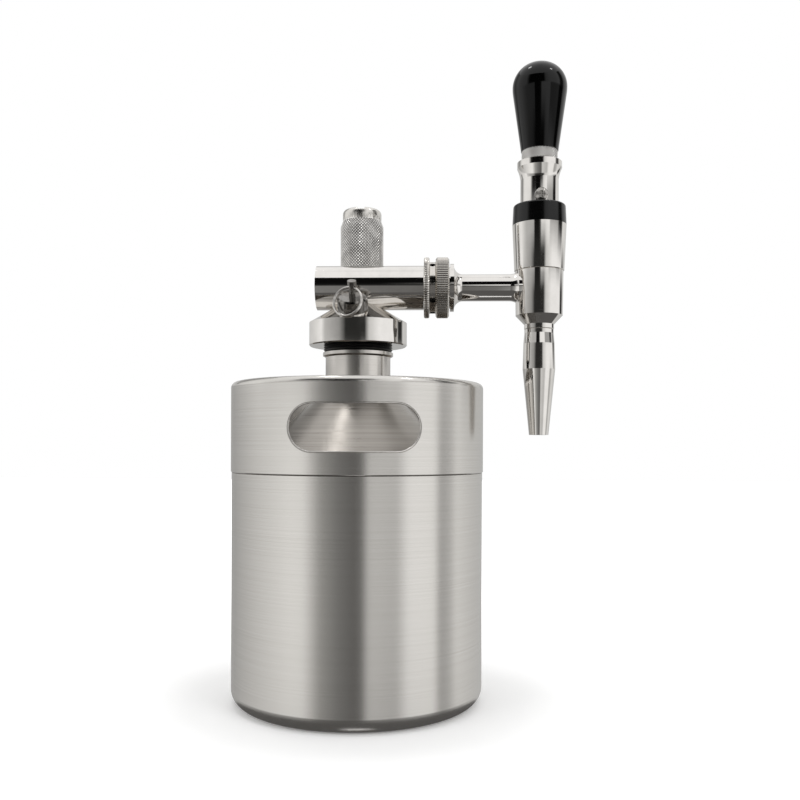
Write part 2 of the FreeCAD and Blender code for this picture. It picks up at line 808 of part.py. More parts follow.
# Relief valve
def make_relief_valve():
    """The vented valve body, its stem, seal and spring, and the pull ring."""
    bore = dim.stem_radius + dim.stem_fit
    points = [
        (dim.relief_bore, -dim.spigot_length),
        (dim.spigot_radius, -dim.spigot_length),
        (dim.spigot_radius, 0),
        (dim.relief_radius, 0),
        (dim.relief_radius, dim.relief_height - dim.relief_chamfer),
        (dim.relief_radius - dim.relief_chamfer, dim.relief_height),
        (bore, dim.relief_height),
        (bore, dim.relief_ceiling),
        (dim.relief_cavity, dim.relief_ceiling),
        (dim.relief_cavity, dim.relief_floor),
        (dim.relief_bore, dim.relief_floor),
    ]
    shell = turned("relief_shell", points)
    vents = []
    for index in range(RELIEF_VENTS):
        angle = 45 + index * 360 / RELIEF_VENTS
        turn = Rotation(Vector(0, 0, 1), angle) * ALONG_X
        reach = dim.relief_radius + dim.overshoot
        vents.append(cylinder(f"vent_{index}", dim.vent_radius, reach, 0, 0, dim.vent_height, turn))
    body = cut("relief_body", shell, fuse("relief_vents", vents))
    node(relief_place(body), "relief_body")

    disc_top = dim.stem_disc_foot + dim.stem_disc_height
    points = [
        (0, dim.stem_disc_foot),
        (dim.stem_disc_radius, dim.stem_disc_foot),
        (dim.stem_disc_radius, disc_top),
        (dim.stem_radius, disc_top),
        (dim.stem_radius, dim.stem_head_foot),
        (dim.stem_head_radius, dim.stem_head_foot),
        (dim.stem_head_radius, dim.stem_top),
        (0, dim.stem_top),
    ]
    stem = turned("stem_shaft", points)
    reach = dim.stem_head_radius
    hole = cylinder("stem_hole", dim.stem_hole_radius, reach * 2, -reach, 0, dim.stem_hole_height, ALONG_X)
    node(relief_place(cut("relief_stem", stem, hole)), "relief_stem")

    points = [
        (0, dim.relief_floor),
        (dim.relief_seal_radius, dim.relief_floor),
        (dim.relief_seal_radius, dim.stem_disc_foot),
        (0, dim.stem_disc_foot),
    ]
    node(relief_place(turned("relief_seal", points)), "relief_seal")

    start_z = disc_top.number + dim.spring_wire.number + dim.spring_fit.number
    rise = dim.spring_pitch.number * dim.spring_turns.number
    helix = Part.makeHelix(dim.spring_pitch.number, rise, dim.spring_radius.number)
    start = Vector(dim.spring_radius.number, 0, 0)
    # The wire's circle stands square to the helix, or the swept face is twisted
    tangent = Vector(0, math.tau * dim.spring_radius.number, dim.spring_pitch.number)
    section = Part.Wire(Part.makeCircle(dim.spring_wire.number, start, tangent))
    spring = doc.addObject("Part::Feature", "relief_spring")
    spring.Shape = Part.Wire(helix).makePipeShell([section], True, True)
    at = RELIEF_AXIS * start_z
    place(spring, dim.relief_x + at.x, dim.relief_y + at.y, dim.relief_z + at.z, RELIEF_TURN)
    node(spring, "relief_spring")

    ring = doc.addObject("Part::Torus", "pull_ring")
    bind(ring, "Radius1", dim.pull_ring_radius)
    bind(ring, "Radius2", dim.pull_ring_wire)
    lean = math.radians(dim.pull_ring_lean.number)
    hang = Vector(0, -math.sin(lean), -math.cos(lean))
    centre = Vector(0, 0, dim.stem_hole_height.number) + hang * dim.pull_ring_radius.number
    offset = RELIEF_TURN.multVec(centre)
    facing = RELIEF_TURN * Rotation(Vector(1, 0, 0), 90 - dim.pull_ring_lean.number)
    place(ring, dim.relief_x + offset.x, dim.relief_y + offset.y, dim.relief_z + offset.z, facing)
    node(ring, "pull_ring")


# Shank and coupling nut
def on_tube_axis(feature):
    """Lay a turned piece along the cross tube's axis."""
    return place(feature, 0, 0, dim.tube_z, ALONG_X)


def make_shank_and_nut():
    """The hollow shank, its washer and the captive nut with spanner holes."""
    points = [
        (dim.shank_bore, dim.shank_start_x),
        (dim.shank_radius, dim.shank_start_x),
        (dim.shank_radius, dim.shank_collar_x),
        (dim.shank_collar_radius, dim.shank_collar_x),
        (dim.shank_collar_radius, dim.shank_end_x),
        (dim.shank_bore, dim.shank_end_x),
    ]
    node(on_tube_axis(turned("tap_shank", points)), "tap_shank")
    washer_end = dim.shank_end_x + dim.washer_thickness
    washer_bore = dim.shank_bore + dim.washer_fit
    points = ring_section(washer_bore, dim.shank_collar_radius, dim.shank_end_x, washer_end)
    node(on_tube_axis(turned("shank_washer", points)), "shank_washer")

    edge = dim.nut_edge
    outer = dim.nut_radius
    groove = dim.nut_groove_radius
    points = [
        (dim.nut_bore, dim.nut_start_x),
        (outer - edge, dim.nut_start_x),
        (outer, dim.nut_start_x + edge),
        (outer, dim.nut_lip_x - edge),
        (outer - edge, dim.nut_lip_x),
        (groove, dim.nut_lip_x),
        (groove, dim.nut_groove_x),
        (outer - edge * 2, dim.nut_groove_x),
        (outer, dim.nut_groove_x + edge * 2),
        (outer, dim.nut_end_x - edge * 2),
        (outer - edge * 2, dim.nut_end_x),
        (dim.nut_cavity, dim.nut_end_x),
        (dim.nut_cavity, dim.nut_cavity_x),
        (dim.nut_bore, dim.nut_cavity_x),
    ]
    blank = turned("nut_blank", points)
    middle = (dim.nut_lip_x + dim.nut_groove_x) * 0.5
    holes = []
    for index in range(SPANNER_HOLES):
        angle = (index + 0.5) * 360 / SPANNER_HOLES
        turn = Rotation(Vector(0, 0, 1), angle) * ALONG_X
        start = turn.multVec(Vector(0, 0, dim.nut_groove_radius.number - dim.spanner_depth.number))
        depth = dim.spanner_depth + dim.overshoot
        holes.append(cylinder(f"spanner_{index}", dim.spanner_hole, depth, start.x, start.y, middle, turn))
    node(on_tube_axis(cut("coupling_nut", blank, fuse("spanner_holes", holes))), "coupling_nut")


# Faucet
def on_faucet(feature):
    """Stand a turned piece on the faucet's axis."""
    return place(feature, dim.faucet_x, 0, 0)


def make_faucet_body():
    """The faucet's threaded tail, flared arm and upright body with its chamber and socket."""
    tail_x = dim.shank_end_x + dim.washer_thickness
    points = [
        (0, tail_x),
        (dim.thread_radius, tail_x),
        (dim.thread_radius, dim.flange_start_x),
        (dim.flange_radius, dim.flange_start_x),
        (dim.flange_radius, dim.flange_end_x),
        (dim.flare_radius, dim.flange_end_x),
        (dim.arm_radius, dim.arm_start_x),
        (dim.arm_radius, dim.arm_fillet_x),
        (dim.arm_fillet_radius, dim.arm_fillet_end_x),
        (dim.arm_fillet_radius, dim.faucet_x),
        (0, dim.faucet_x),
    ]
    arcs = {5: (dim.arm_round, 1), 7: (dim.arm_fillet_arc, 1)}
    arm = on_tube_axis(turned("faucet_arm", points, arcs))
    edge = dim.joint_edge
    points = [
        (0, dim.body_seam_z),
        (dim.body_neck_radius - edge, dim.body_seam_z),
        (dim.body_neck_radius, dim.body_seam_z + edge),
        (dim.body_neck_radius, dim.body_neck_z),
        (dim.body_foot_radius, dim.body_foot_z),
        (dim.body_top_radius, dim.body_top_z - edge),
        (dim.body_top_radius - edge, dim.body_top_z),
        (0, dim.body_top_z),
    ]
    upright = on_faucet(turned("faucet_upright", points))
    solid = fuse("faucet_solid", [arm, upright])
    chamber_height = dim.body_top_z - dim.seat_z
    chamber = cylinder("chamber", dim.chamber_radius, chamber_height, dim.faucet_x, 0, dim.seat_z)
    seat_depth = dim.seat_z - dim.socket_top_z
    seat_hole = cylinder("seat_hole", dim.seat_bore, seat_depth, dim.faucet_x, 0, dim.socket_top_z)
    socket_depth = dim.socket_top_z - dim.body_seam_z
    socket = cylinder("nozzle_socket", dim.socket_radius, socket_depth, dim.faucet_x, 0, dim.body_seam_z)
    arm_bore = cylinder("arm_bore", dim.shank_bore, dim.faucet_x - tail_x, tail_x, 0, dim.tube_z, ALONG_X)
    bores = fuse("faucet_bores", [chamber, seat_hole, socket, arm_bore])
    node(cut("faucet_body", solid, bores), "faucet_body")


def make_bonnet():
    """The bonnet screwed into the body, its seals and the black bearing cap on top."""
    bore = dim.shaft_radius + dim.shaft_fit
    packing_top = dim.bonnet_plug_z + dim.packing_height
    seal_foot = dim.body_top_z - dim.bonnet_seal_height
    groove = dim.bonnet_plug_radius - dim.bonnet_seal_height
    points = [
        (dim.packing_radius, dim.bonnet_plug_z),
        (dim.bonnet_plug_radius, dim.bonnet_plug_z),
        (dim.bonnet_plug_radius, seal_foot),
        (groove, seal_foot),
        (groove, dim.body_top_z),
        (dim.bonnet_foot_radius - dim.joint_edge, dim.body_top_z),
        (dim.bonnet_foot_radius, dim.body_top_z + dim.joint_edge),
        (dim.bonnet_top_radius, dim.bonnet_top_z),
        (bore, dim.bonnet_top_z),
        (bore, packing_top),
        (dim.packing_radius, packing_top),
    ]
    node(on_faucet(turned("bonnet", points)), "bonnet")
    points = ring_section(groove, dim.chamber_radius, seal_foot, dim.body_top_z)
    node(on_faucet(turned("bonnet_seal", points)), "bonnet_seal")
    seal_bore = dim.shaft_radius + dim.shaft_seal_fit
    points = ring_section(seal_bore, dim.packing_radius, dim.bonnet_plug_z, packing_top)
    node(on_faucet(turned("shaft_seal", points)), "shaft_seal")

    top = dim.bearing_top_z
    outer = dim.bearing_top_radius
    edge = dim.bearing_round
    points = [
        (bore, dim.bonnet_top_z),
        (dim.bonnet_top_radius, dim.bonnet_top_z),
        (outer, top - edge),
        (outer - edge, top),
        (bore, top),
    ]
    node(on_faucet(turned("bearing_cap", points, {2: (edge, -1)})), "bearing_cap")


def make_valve():
    """The lifting shaft with its eye and the rubber washer that closes on the seat."""
    washer_top = dim.seat_z + dim.seat_washer_height
    foot_top = washer_top + dim.shaft_foot_height
    points = [
        (0, washer_top),
        (dim.seat_washer_radius, washer_top),
        (dim.seat_washer_radius, foot_top),
        (dim.shaft_radius, foot_top),
        (dim.shaft_radius, dim.pivot_z),
        (0, dim.pivot_z),
    ]
    rod = on_faucet(turned("shaft_rod", points))
    half = dim.eye_width * 0.5
    eye = cylinder("shaft_eye", dim.eye_radius, dim.eye_width, dim.faucet_x, -half, dim.pivot_z, ALONG_Y)
    hole_radius = dim.screw_radius + dim.screw_fit
    reach = dim.eye_width
    hole = cylinder("eye_hole", hole_radius, reach * 2, dim.faucet_x, -reach, dim.pivot_z, ALONG_Y)
    node(cut("valve_shaft", fuse("shaft_solid", [rod, eye]), hole), "valve_shaft")
    points = [
        (0, dim.seat_z),
        (dim.seat_washer_radius, dim.seat_z),
        (dim.seat_washer_radius, washer_top),
        (0, washer_top),
    ]
    node(on_faucet(turned("seat_washer", points)), "seat_washer")


def make_nozzle():
    """The long tapered nozzle with its seal, restrictor disc and flow straightener."""
    groove_top = dim.nozzle_groove_z + dim.nozzle_groove_height
    points = [
        (dim.straightener_radius, dim.nozzle_plug_z),
        (dim.nozzle_plug_radius, dim.nozzle_plug_z),
        (dim.nozzle_plug_radius, groove_top),
        (dim.nozzle_groove, groove_top),
        (dim.nozzle_groove, dim.nozzle_groove_z),
        (dim.nozzle_plug_radius, dim.nozzle_groove_z),
        (dim.nozzle_plug_radius, dim.body_seam_z),
        (dim.nozzle_radius - dim.joint_edge, dim.body_seam_z),
        (dim.nozzle_radius, dim.body_seam_z - dim.joint_edge),
        (dim.nozzle_radius, dim.nozzle_throat_z),
        (dim.nozzle_swell_radius, dim.nozzle_swell_z),
        (dim.nozzle_wide_radius, dim.nozzle_wide_z),
        (dim.nozzle_tip_radius, dim.nozzle_tip_z),
        (dim.nozzle_bore_tip, dim.nozzle_tip_z),
        (dim.nozzle_bore_top, dim.straightener_z),
        (dim.straightener_radius, dim.straightener_z),
    ]
    node(on_faucet(turned("nozzle", points)), "nozzle")
    seal_foot = dim.nozzle_groove_z + dim.nozzle_seal_fit
    seal_top = groove_top - dim.nozzle_seal_fit
    points = ring_section(dim.nozzle_groove, dim.socket_radius, seal_foot, seal_top)
    node(on_faucet(turned("nozzle_seal", points)), "nozzle_seal")

    radius = dim.straightener_radius - dim.straightener_fit
    disc_foot = dim.nozzle_plug_z - dim.disc_thickness
    blank = cylinder("disc_blank", radius, dim.disc_thickness, dim.faucet_x, 0, disc_foot)
    holes = []
    for index in range(DISC_HOLES):
        angle = math.radians(index * 360 / DISC_HOLES)
        x = dim.faucet_x + dim.disc_hole_circle * math.cos(angle)
        y = dim.disc_hole_circle * math.sin(angle)
        holes.append(cylinder(f"disc_hole_{index}", dim.disc_hole, dim.disc_thickness, x, y, disc_foot))
    node(cut("restrictor_disc", blank, fuse("disc_holes", holes)), "restrictor_disc")

    height = dim.straightener_top_z - dim.straightener_z
    round_bar = cylinder("straightener_round", radius, height, dim.faucet_x, 0, dim.straightener_z)
    blades = []
    for index in range(STRAIGHTENER_BLADES):
        turn = Rotation(Vector(0, 0, 1), index * 180 / STRAIGHTENER_BLADES)
        corner = turn.multVec(Vector(-radius.number, -dim.straightener_blade.number / 2, 0))
        x = dim.faucet_x + corner.x
        foot = dim.straightener_z
        blade = box(f"blade_{index}", radius * 2, dim.straightener_blade, height, x, corner.y, foot, turn)
        blades.append(blade)
    node(common("flow_straightener", [round_bar, fuse("blades", blades)]), "flow_straightener")


# Lever and knob
def make_lever():
    """The lever's collar over the shaft's eye, its pivot screws, stud and ferrule."""
    edge = dim.collar_edge
    points = [
        (0, dim.collar_foot_z),
        (dim.collar_radius - edge, dim.collar_foot_z),
        (dim.collar_radius, dim.collar_foot_z + edge),
        (dim.collar_radius, dim.collar_flare_z),
        (dim.collar_bead_radius, dim.collar_bead_z),
        (dim.collar_bead_radius, dim.collar_top_z - edge),
        (dim.collar_top_radius, dim.collar_top_z),
        (0, dim.collar_top_z),
    ]
    blank = on_faucet(turned("collar_blank", points, {3: (dim.collar_flare_arc, 1)}))
    yoke_x = dim.faucet_x - dim.yoke_length * 0.5
    yoke_height = dim.yoke_top_z - dim.collar_foot_z
    yoke_y = -dim.yoke_width * 0.5
    yoke = box("yoke", dim.yoke_length, dim.yoke_width, yoke_height, yoke_x, yoke_y, dim.collar_foot_z)
    reach = dim.collar_radius
    x = dim.faucet_x
    screw_hole = cylinder("screw_hole", dim.screw_radius, reach * 2, x, -reach, dim.pivot_z, ALONG_Y)
    seat = dim.screw_head_radius + dim.screw_seat_fit
    depth = dim.screw_seat_depth
    front_seat = cylinder("front_seat", seat, depth, x, -dim.screw_seat - depth, dim.pivot_z, ALONG_Y)
    back_seat = cylinder("back_seat", seat, depth, x, dim.screw_seat, dim.pivot_z, ALONG_Y)
    stud_depth = dim.collar_top_z - dim.stud_foot_z
    stud_hole = cylinder("stud_hole", dim.stud_radius, stud_depth, dim.faucet_x, 0, dim.stud_foot_z)
    tools = fuse("collar_tools", [yoke, screw_hole, front_seat, back_seat, stud_hole])
    node(cut("lever_collar", blank, tools), "lever_collar")

    screws = []
    crowns = []
    length = dim.screw_seat - dim.screw_tip
    for side, turn in (("front", Rotation(Vector(1, 0, 0), 90)), ("back", ALONG_Y)):
        points = [
            (0, dim.screw_tip),
            (dim.screw_radius, dim.screw_tip),
            (dim.screw_radius, dim.screw_tip + length),
            (dim.screw_head_radius, dim.screw_seat),
            (dim.screw_head_radius, dim.screw_seat + dim.screw_head_height * 0.5),
            (dim.screw_head_radius * 0.6, dim.screw_seat + dim.screw_head_height),
            (0, dim.screw_seat + dim.screw_head_height),
        ]
        screws.append(place(turned(f"screw_{side}", points), dim.faucet_x, 0, dim.pivot_z, turn))
        sign = -1 if side == "front" else 1
        far = (dim.screw_seat + dim.screw_head_height) * sign
        deep = far - dim.cross_depth * sign
        low_y = deep if sign > 0 else far
        arms = (("flat", dim.cross_length, dim.cross_width), ("tall", dim.cross_width, dim.cross_length))
        for name, wide, tall in arms:
            x = dim.faucet_x - wide * 0.5
            z = dim.pivot_z - tall * 0.5
            crowns.append(box(f"cross_{side}_{name}", wide, dim.cross_depth, tall, x, low_y, z))
    node(cut("pivot_screws", fuse("screw_blanks", screws), fuse("screw_crosses", crowns)), "pivot_screws")

    stud_height = dim.stud_top_z - dim.stud_foot_z
    stud = cylinder("handle_stud", dim.stud_radius, stud_height, dim.faucet_x, 0, dim.stud_foot_z)
    node(stud, "handle_stud")
    points = ring_section(dim.stud_radius, dim.ferrule_radius, dim.collar_top_z, dim.ferrule_top_z)
    node(on_faucet(turned("handle_ferrule", points)), "handle_ferrule")


def make_knob():
    """The pear-shaped knob and the brass insert that the stud screws into."""
    foot = dim.ferrule_top_z
    points = [
        (dim.insert_radius, foot),
        (dim.knob_foot_radius, foot),
        (dim.knob_swell_radius, dim.knob_swell_z),
        (dim.knob_wide_radius, dim.knob_wide_z),
        (dim.knob_crown, dim.knob_top_z),
        (0, dim.knob_top_z),
        (0, dim.insert_top_z),
        (dim.insert_radius, dim.insert_top_z),
    ]
    arcs = {2: (dim.knob_swell_arc, -1), 3: (dim.knob_dome_arc, -1)}
    node(on_faucet(turned("knob", points, arcs)), "knob")
    points = [
        (dim.stud_radius, foot),
        (dim.insert_radius, foot),
        (dim.insert_radius, dim.insert_top_z),
        (0, dim.insert_top_z),
        (0, dim.stud_top_z),
        (dim.stud_radius, dim.stud_top_z),
    ]
    node(on_faucet(turned("knob_insert", points)), "knob_insert")


def check_document():
    """Stop if any object failed or any sub-part is not a sound solid."""
    failed = [item for item in doc.Objects if "Invalid" in item.State or "Error" in item.State]
    if failed:
        raise RuntimeError("; ".join(f"{item.Name}: {item.getStatusString()}" for item in failed))
    for item in nodes:
        if item.Shape.isNull() or not item.Shape.isValid() or not item.Shape.Solids:
            raise RuntimeError(f"{item.Label} has no sound solid")


def write_parts():
    """Write one file for each sub-part."""
    os.makedirs("parts", exist_ok=True)
    for item in nodes:
        item.Shape.exportStep(f"parts/{item.Label}.step")
        low = item.Shape.optimalBoundingBox(False, False)
        ends = (low.XMin, low.XMax, low.YMin, low.YMax, low.ZMin, low.ZMax)
        size = " ".join(f"{end:8.2f}" for end in ends)
        print(f"{item.Label:20s} {len(item.Shape.Solids)} {item.Shape.Volume / 1000:9.3f} cm3 {size}")


make_keg_body()
make_keg_shoulder()
make_keg_neck()
make_handle_ring()
make_neck_seal()
make_head_body()
make_dip_tube()
make_cartridge()
make_relief_valve()
make_shank_and_nut()
make_faucet_body()
make_bonnet()
make_valve()
make_nozzle()
make_lever()
make_knob()
doc.recompute()
check_document()
write_parts()
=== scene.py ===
"""The looks of a two-litre steel mini keg with a pressure head and a stout tap."""

import logging
import math
from dataclasses import dataclass
from enum import Enum
from typing import Callable, Optional

import bpy
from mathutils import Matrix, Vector


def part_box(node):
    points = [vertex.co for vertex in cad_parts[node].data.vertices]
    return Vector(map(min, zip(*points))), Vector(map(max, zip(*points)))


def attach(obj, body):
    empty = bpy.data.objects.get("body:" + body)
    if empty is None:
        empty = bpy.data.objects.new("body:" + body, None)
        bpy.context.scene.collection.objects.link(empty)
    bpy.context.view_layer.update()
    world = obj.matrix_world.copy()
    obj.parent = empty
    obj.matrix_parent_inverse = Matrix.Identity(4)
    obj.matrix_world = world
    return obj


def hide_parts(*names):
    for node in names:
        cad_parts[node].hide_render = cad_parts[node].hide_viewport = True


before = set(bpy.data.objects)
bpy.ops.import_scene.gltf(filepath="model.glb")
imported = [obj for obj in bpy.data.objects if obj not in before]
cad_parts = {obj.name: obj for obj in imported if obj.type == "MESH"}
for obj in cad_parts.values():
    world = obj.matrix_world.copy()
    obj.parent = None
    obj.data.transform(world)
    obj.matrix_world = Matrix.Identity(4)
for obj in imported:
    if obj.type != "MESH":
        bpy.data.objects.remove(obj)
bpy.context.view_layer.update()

MM = 0.001
# The attribute in which a pressed pattern keeps how deep it goes at each point
GROOVE = "groove_depth"
UP = Vector((0, 0, 1))
# Texture scales, in features a metre: along polishing lines, haze, grime, plastic and floor
ALONG_LINES = 6.0
HAZE_SCALE = 22.0
GRIME_SCALE = 160.0
PLASTIC_SCALE = 60.0
FLOOR_SCALE = 30.0
# The span that holds nearly all of a noise's values
NOISE_LOW = 0.3
NOISE_HIGH = 0.7
# How far grime shifts a knurl's groove depth either way
GRIME_SHIFT = 0.12
# Bump heights of polishing lines and of a moulded skin, in metres
LINE_BUMP = 0.00002
SKIN_BUMP = 0.00003
# A quarter turn of the brushing's highlight, across the lines
ACROSS_LINES = 0.25
# Points nearer than this are one point, in metres
MERGE = 0.000001
log = logging.getLogger("mini_keg")


# Colour and node helpers
def colour(code: str) -> tuple[float, float, float, float]:
    """Turn an sRGB hex value to a linear colour.

    Args:
        code: Six hex digits, such as "c9c2b7".

    Returns:
        Linear red, green, blue and an alpha of one.
    """
    parts = [int(code[start:start + 2], 16) / 255 for start in (0, 2, 4)]
    linear = [part / 12.92 if part <= 0.04045 else ((part + 0.055) / 1.055) ** 2.4 for part in parts]
    return (linear[0], linear[1], linear[2], 1.0)


def add_node(
    tree: bpy.types.NodeTree, kind: str, values: dict, links: dict, **settings: object,
) -> bpy.types.Node:
    """Add one node with its settings, input values and incoming links.

    Args:
        tree: The tree that gets the node.
        kind: The node's type name.
        values: Input name or number to a value.
        links: Input name or number to the socket that feeds it.
        **settings: Properties of the node itself.

    Returns:
        The new node.
    """
    item = tree.nodes.new(kind)
    for name, setting in settings.items():
        setattr(item, name, setting)
    for name, value in values.items():
        item.inputs[name].default_value = value
    for name, socket in links.items():
        tree.links.new(socket, item.inputs[name])
    return item


def blank_material(name: str) -> tuple[bpy.types.Material, bpy.types.NodeTree, bpy.types.Node]:
    """Make a material that holds only its output node.

    Args:
        name: The finish's name.

    Returns:
        The material, its tree and its output node.
    """
    material = bpy.data.materials.new(name)
    material.use_nodes = True
    tree = material.node_tree
    tree.nodes.clear()
    return material, tree, tree.nodes.new("ShaderNodeOutputMaterial")


def set_ramp(ramp: bpy.types.Node, stops: list[tuple[float, str]]) -> None:
    """Give a colour ramp its stops.

    Args:
        ramp: The colour ramp node.
        stops: Position and sRGB hex value of each stop.
    """
    elements = ramp.color_ramp.elements
    while len(elements) < len(stops):
        elements.new(1.0)
    for element, (place, code) in zip(elements, stops):
        element.position = place
        element.color = colour(code)


# Finishes
class Grain(Enum):
    """Which way a metal's polishing lines run."""

    ROUND_Z = "round_z"
    ROUND_X = "round_x"
    NONE = "none"


@dataclass(frozen=True)
class SteelFinish:
    """Stainless steel with fine lines left by brushing, turning or polishing."""

    name: str
    base: str
    dark: str
    roughness: float
    spread: float
    grain: Grain
    line_mm: float
    relief: float
    anisotropy: float = 0.0
    smudge: float = 0.0

    def build(self) -> bpy.types.Material:
        """Build the node material."""
        material, tree, output = blank_material(self.name)
        place = add_node(tree, "ShaderNodeTexCoord", {}, {})
        across = 1.0 / (self.line_mm * MM)
        scales = {
            Grain.ROUND_Z: (ALONG_LINES, ALONG_LINES, across),
            Grain.ROUND_X: (across, ALONG_LINES, ALONG_LINES),
            Grain.NONE: (across, across, across),
        }
        mapping = add_node(
            tree, "ShaderNodeMapping", {"Scale": scales[self.grain]}, {"Vector": place.outputs["Object"]}
        )
        lines = add_node(
            tree, "ShaderNodeTexNoise", {"Scale": 1.0, "Detail": 4.0, "Roughness": 0.65},
            {"Vector": mapping.outputs["Vector"]},
        )
        cloud = add_node(
            tree, "ShaderNodeTexNoise", {"Scale": HAZE_SCALE, "Detail": 3.0, "Roughness": 0.55},
            {"Vector": place.outputs["Object"]},
        )
        tint = add_node(tree, "ShaderNodeValToRGB", {}, {"Fac": lines.outputs["Fac"]})
        set_ramp(tint, [(0.30, self.dark), (0.62, self.base)])
        rough = add_node(
            tree, "ShaderNodeMapRange",
            {"From Min": NOISE_LOW, "From Max": NOISE_HIGH, "To Min": self.roughness - self.spread,
             "To Max": self.roughness + self.spread},
            {"Value": lines.outputs["Fac"]},
        )
        haze = add_node(
            tree, "ShaderNodeMapRange",
            {"From Min": 0.35, "From Max": NOISE_HIGH, "To Min": 0.0, "To Max": self.smudge},
            {"Value": cloud.outputs["Fac"]},
        )
        total = add_node(
            tree, "ShaderNodeMath", {}, {0: rough.outputs["Result"], 1: haze.outputs["Result"]},
            operation="ADD",
        )
        bump = add_node(
            tree, "ShaderNodeBump", {"Strength": self.relief, "Distance": LINE_BUMP},
            {"Height": lines.outputs["Fac"]},
        )
        shader = add_node(
            tree, "ShaderNodeBsdfPrincipled", {"Metallic": 1.0},
            {"Base Color": tint.outputs["Color"], "Roughness": total.outputs["Value"],
             "Normal": bump.outputs["Normal"]},
        )
        if self.anisotropy > 0:
            shader.inputs["Anisotropic"].default_value = self.anisotropy
            shader.inputs["Anisotropic Rotation"].default_value = ACROSS_LINES
            axis = "X" if self.grain is Grain.ROUND_X else "Z"
            tangent = add_node(tree, "ShaderNodeTangent", {}, {}, direction_type="RADIAL", axis=axis)
            tree.links.new(tangent.outputs["Tangent"], shader.inputs["Tangent"])
        tree.links.new(shader.outputs["BSDF"], output.inputs["Surface"])
        return material


@dataclass(frozen=True)
class KnurlFinish:
    """Pressed knurling: bright ridges, and grooves darkened by their depth as painted shade, with grime that
    changes at random.
    """

    name: str
    ridge: str
    # Colour deep in the grooves: painted shade
    groove: str
    ridge_roughness: float
    groove_roughness: float

    def build(self) -> bpy.types.Material:
        """Build the node material from the piece's own groove depth."""
        material, tree, output = blank_material(self.name)
        place = add_node(tree, "ShaderNodeTexCoord", {}, {})
        depth = add_node(tree, "ShaderNodeAttribute", {}, {}, attribute_name=GROOVE)
        wear = add_node(
            tree, "ShaderNodeTexNoise", {"Scale": GRIME_SCALE, "Detail": 3.0, "Roughness": 0.6},
            {"Vector": place.outputs["Object"]},
        )
        worn = add_node(
            tree, "ShaderNodeMapRange",
            {"From Min": NOISE_LOW, "From Max": NOISE_HIGH, "To Min": -GRIME_SHIFT, "To Max": GRIME_SHIFT},
            {"Value": wear.outputs["Fac"]},
        )
        level = add_node(
            tree, "ShaderNodeMath", {}, {0: depth.outputs["Fac"], 1: worn.outputs["Result"]},
            operation="ADD",
        )
        # Darker with groove depth: painted shade in the grooves, moved a little by the grime noise
        tint = add_node(tree, "ShaderNodeValToRGB", {}, {"Fac": level.outputs["Value"]})
        set_ramp(tint, [(0.35, self.ridge), (0.95, self.groove)])
        rough = add_node(
            tree, "ShaderNodeMapRange", {"To Min": self.ridge_roughness, "To Max": self.groove_roughness},
            {"Value": level.outputs["Value"]},
        )
        shader = add_node(
            tree, "ShaderNodeBsdfPrincipled", {"Metallic": 1.0},
            {"Base Color": tint.outputs["Color"], "Roughness": rough.outputs["Result"]},
        )
        tree.links.new(shader.outputs["BSDF"], output.inputs["Surface"])
        return material


@dataclass(frozen=True)
class MouldedFinish:
    """Moulded plastic or rubber, with a fine skin and a little colour change."""

    name: str
    base: str
    worn: str
    roughness: float
    spread: float
    grain_mm: float
    relief: float
    specular: float

    def build(self) -> bpy.types.Material:
        """Build the node material."""
        material, tree, output = blank_material(self.name)
        place = add_node(tree, "ShaderNodeTexCoord", {}, {})
        skin = add_node(
            tree, "ShaderNodeTexNoise",
            {"Scale": 1.0 / (self.grain_mm * MM), "Detail": 3.0, "Roughness": 0.6},
            {"Vector": place.outputs["Object"]},
        )
        patch = add_node(
            tree, "ShaderNodeTexNoise", {"Scale": PLASTIC_SCALE, "Detail": 4.0, "Roughness": 0.6},
            {"Vector": place.outputs["Object"]},
        )
        tint = add_node(tree, "ShaderNodeValToRGB", {}, {"Fac": patch.outputs["Fac"]})
        set_ramp(tint, [(0.42, self.base), (0.72, self.worn)])
        rough = add_node(
            tree, "ShaderNodeMapRange",
            {"From Min": NOISE_LOW, "From Max": NOISE_HIGH, "To Min": self.roughness - self.spread,
             "To Max": self.roughness + self.spread},
            {"Value": patch.outputs["Fac"]},
        )
        bump = add_node(
            tree, "ShaderNodeBump", {"Strength": self.relief, "Distance": SKIN_BUMP},
            {"Height": skin.outputs["Fac"]},
        )
        shader = add_node(
            tree, "ShaderNodeBsdfPrincipled", {"Metallic": 0.0, "Specular IOR Level": self.specular},
            {"Base Color": tint.outputs["Color"], "Roughness": rough.outputs["Result"],
             "Normal": bump.outputs["Normal"]},
        )
        tree.links.new(shader.outputs["BSDF"], output.inputs["Surface"])
        return material


# Brushed 304 sheet: a warm grey that keeps upright bands of the room, softened up and down by the brushing
KEG_STEEL = SteelFinish(
    "brushed_304_sheet", "d8d5d1", "cecbc6", 0.22, 0.02, Grain.ROUND_Z, 0.22, 0.08, 0.7, 0.02,
)
# The shoulder is left duller by spinning and cleaning, with cloudy marks
SHOULDER_STEEL = SteelFinish(
    "spun_304_shoulder", "aaa59f", "908b85", 0.26, 0.06, Grain.ROUND_Z, 1.2, 0.2, 0.3, 0.12,
)
# Buffed castings: near mirror, with the faintest waviness
MIRROR_STEEL = SteelFinish(
    "buffed_304_casting", "e2dfdb", "dad7d3", 0.05, 0.01, Grain.NONE, 9.0, 0.05, 0.0, 0.02,
)
# Turned and buffed nut: bright, with fine lathe lines round its axis
NUT_STEEL = SteelFinish(
    "turned_304_nut", "d8d4ce", "c9c4be", 0.12, 0.03, Grain.ROUND_X, 0.25, 0.15, 0.0, 0.02,
)
# Knurled steel: bright pressed diamonds with grooves darkened as painted shade, a pale sparkle from afar
KNURL_STEEL = KnurlFinish("knurled_304", "fbf9f6", "625f5c", 0.2, 0.5)
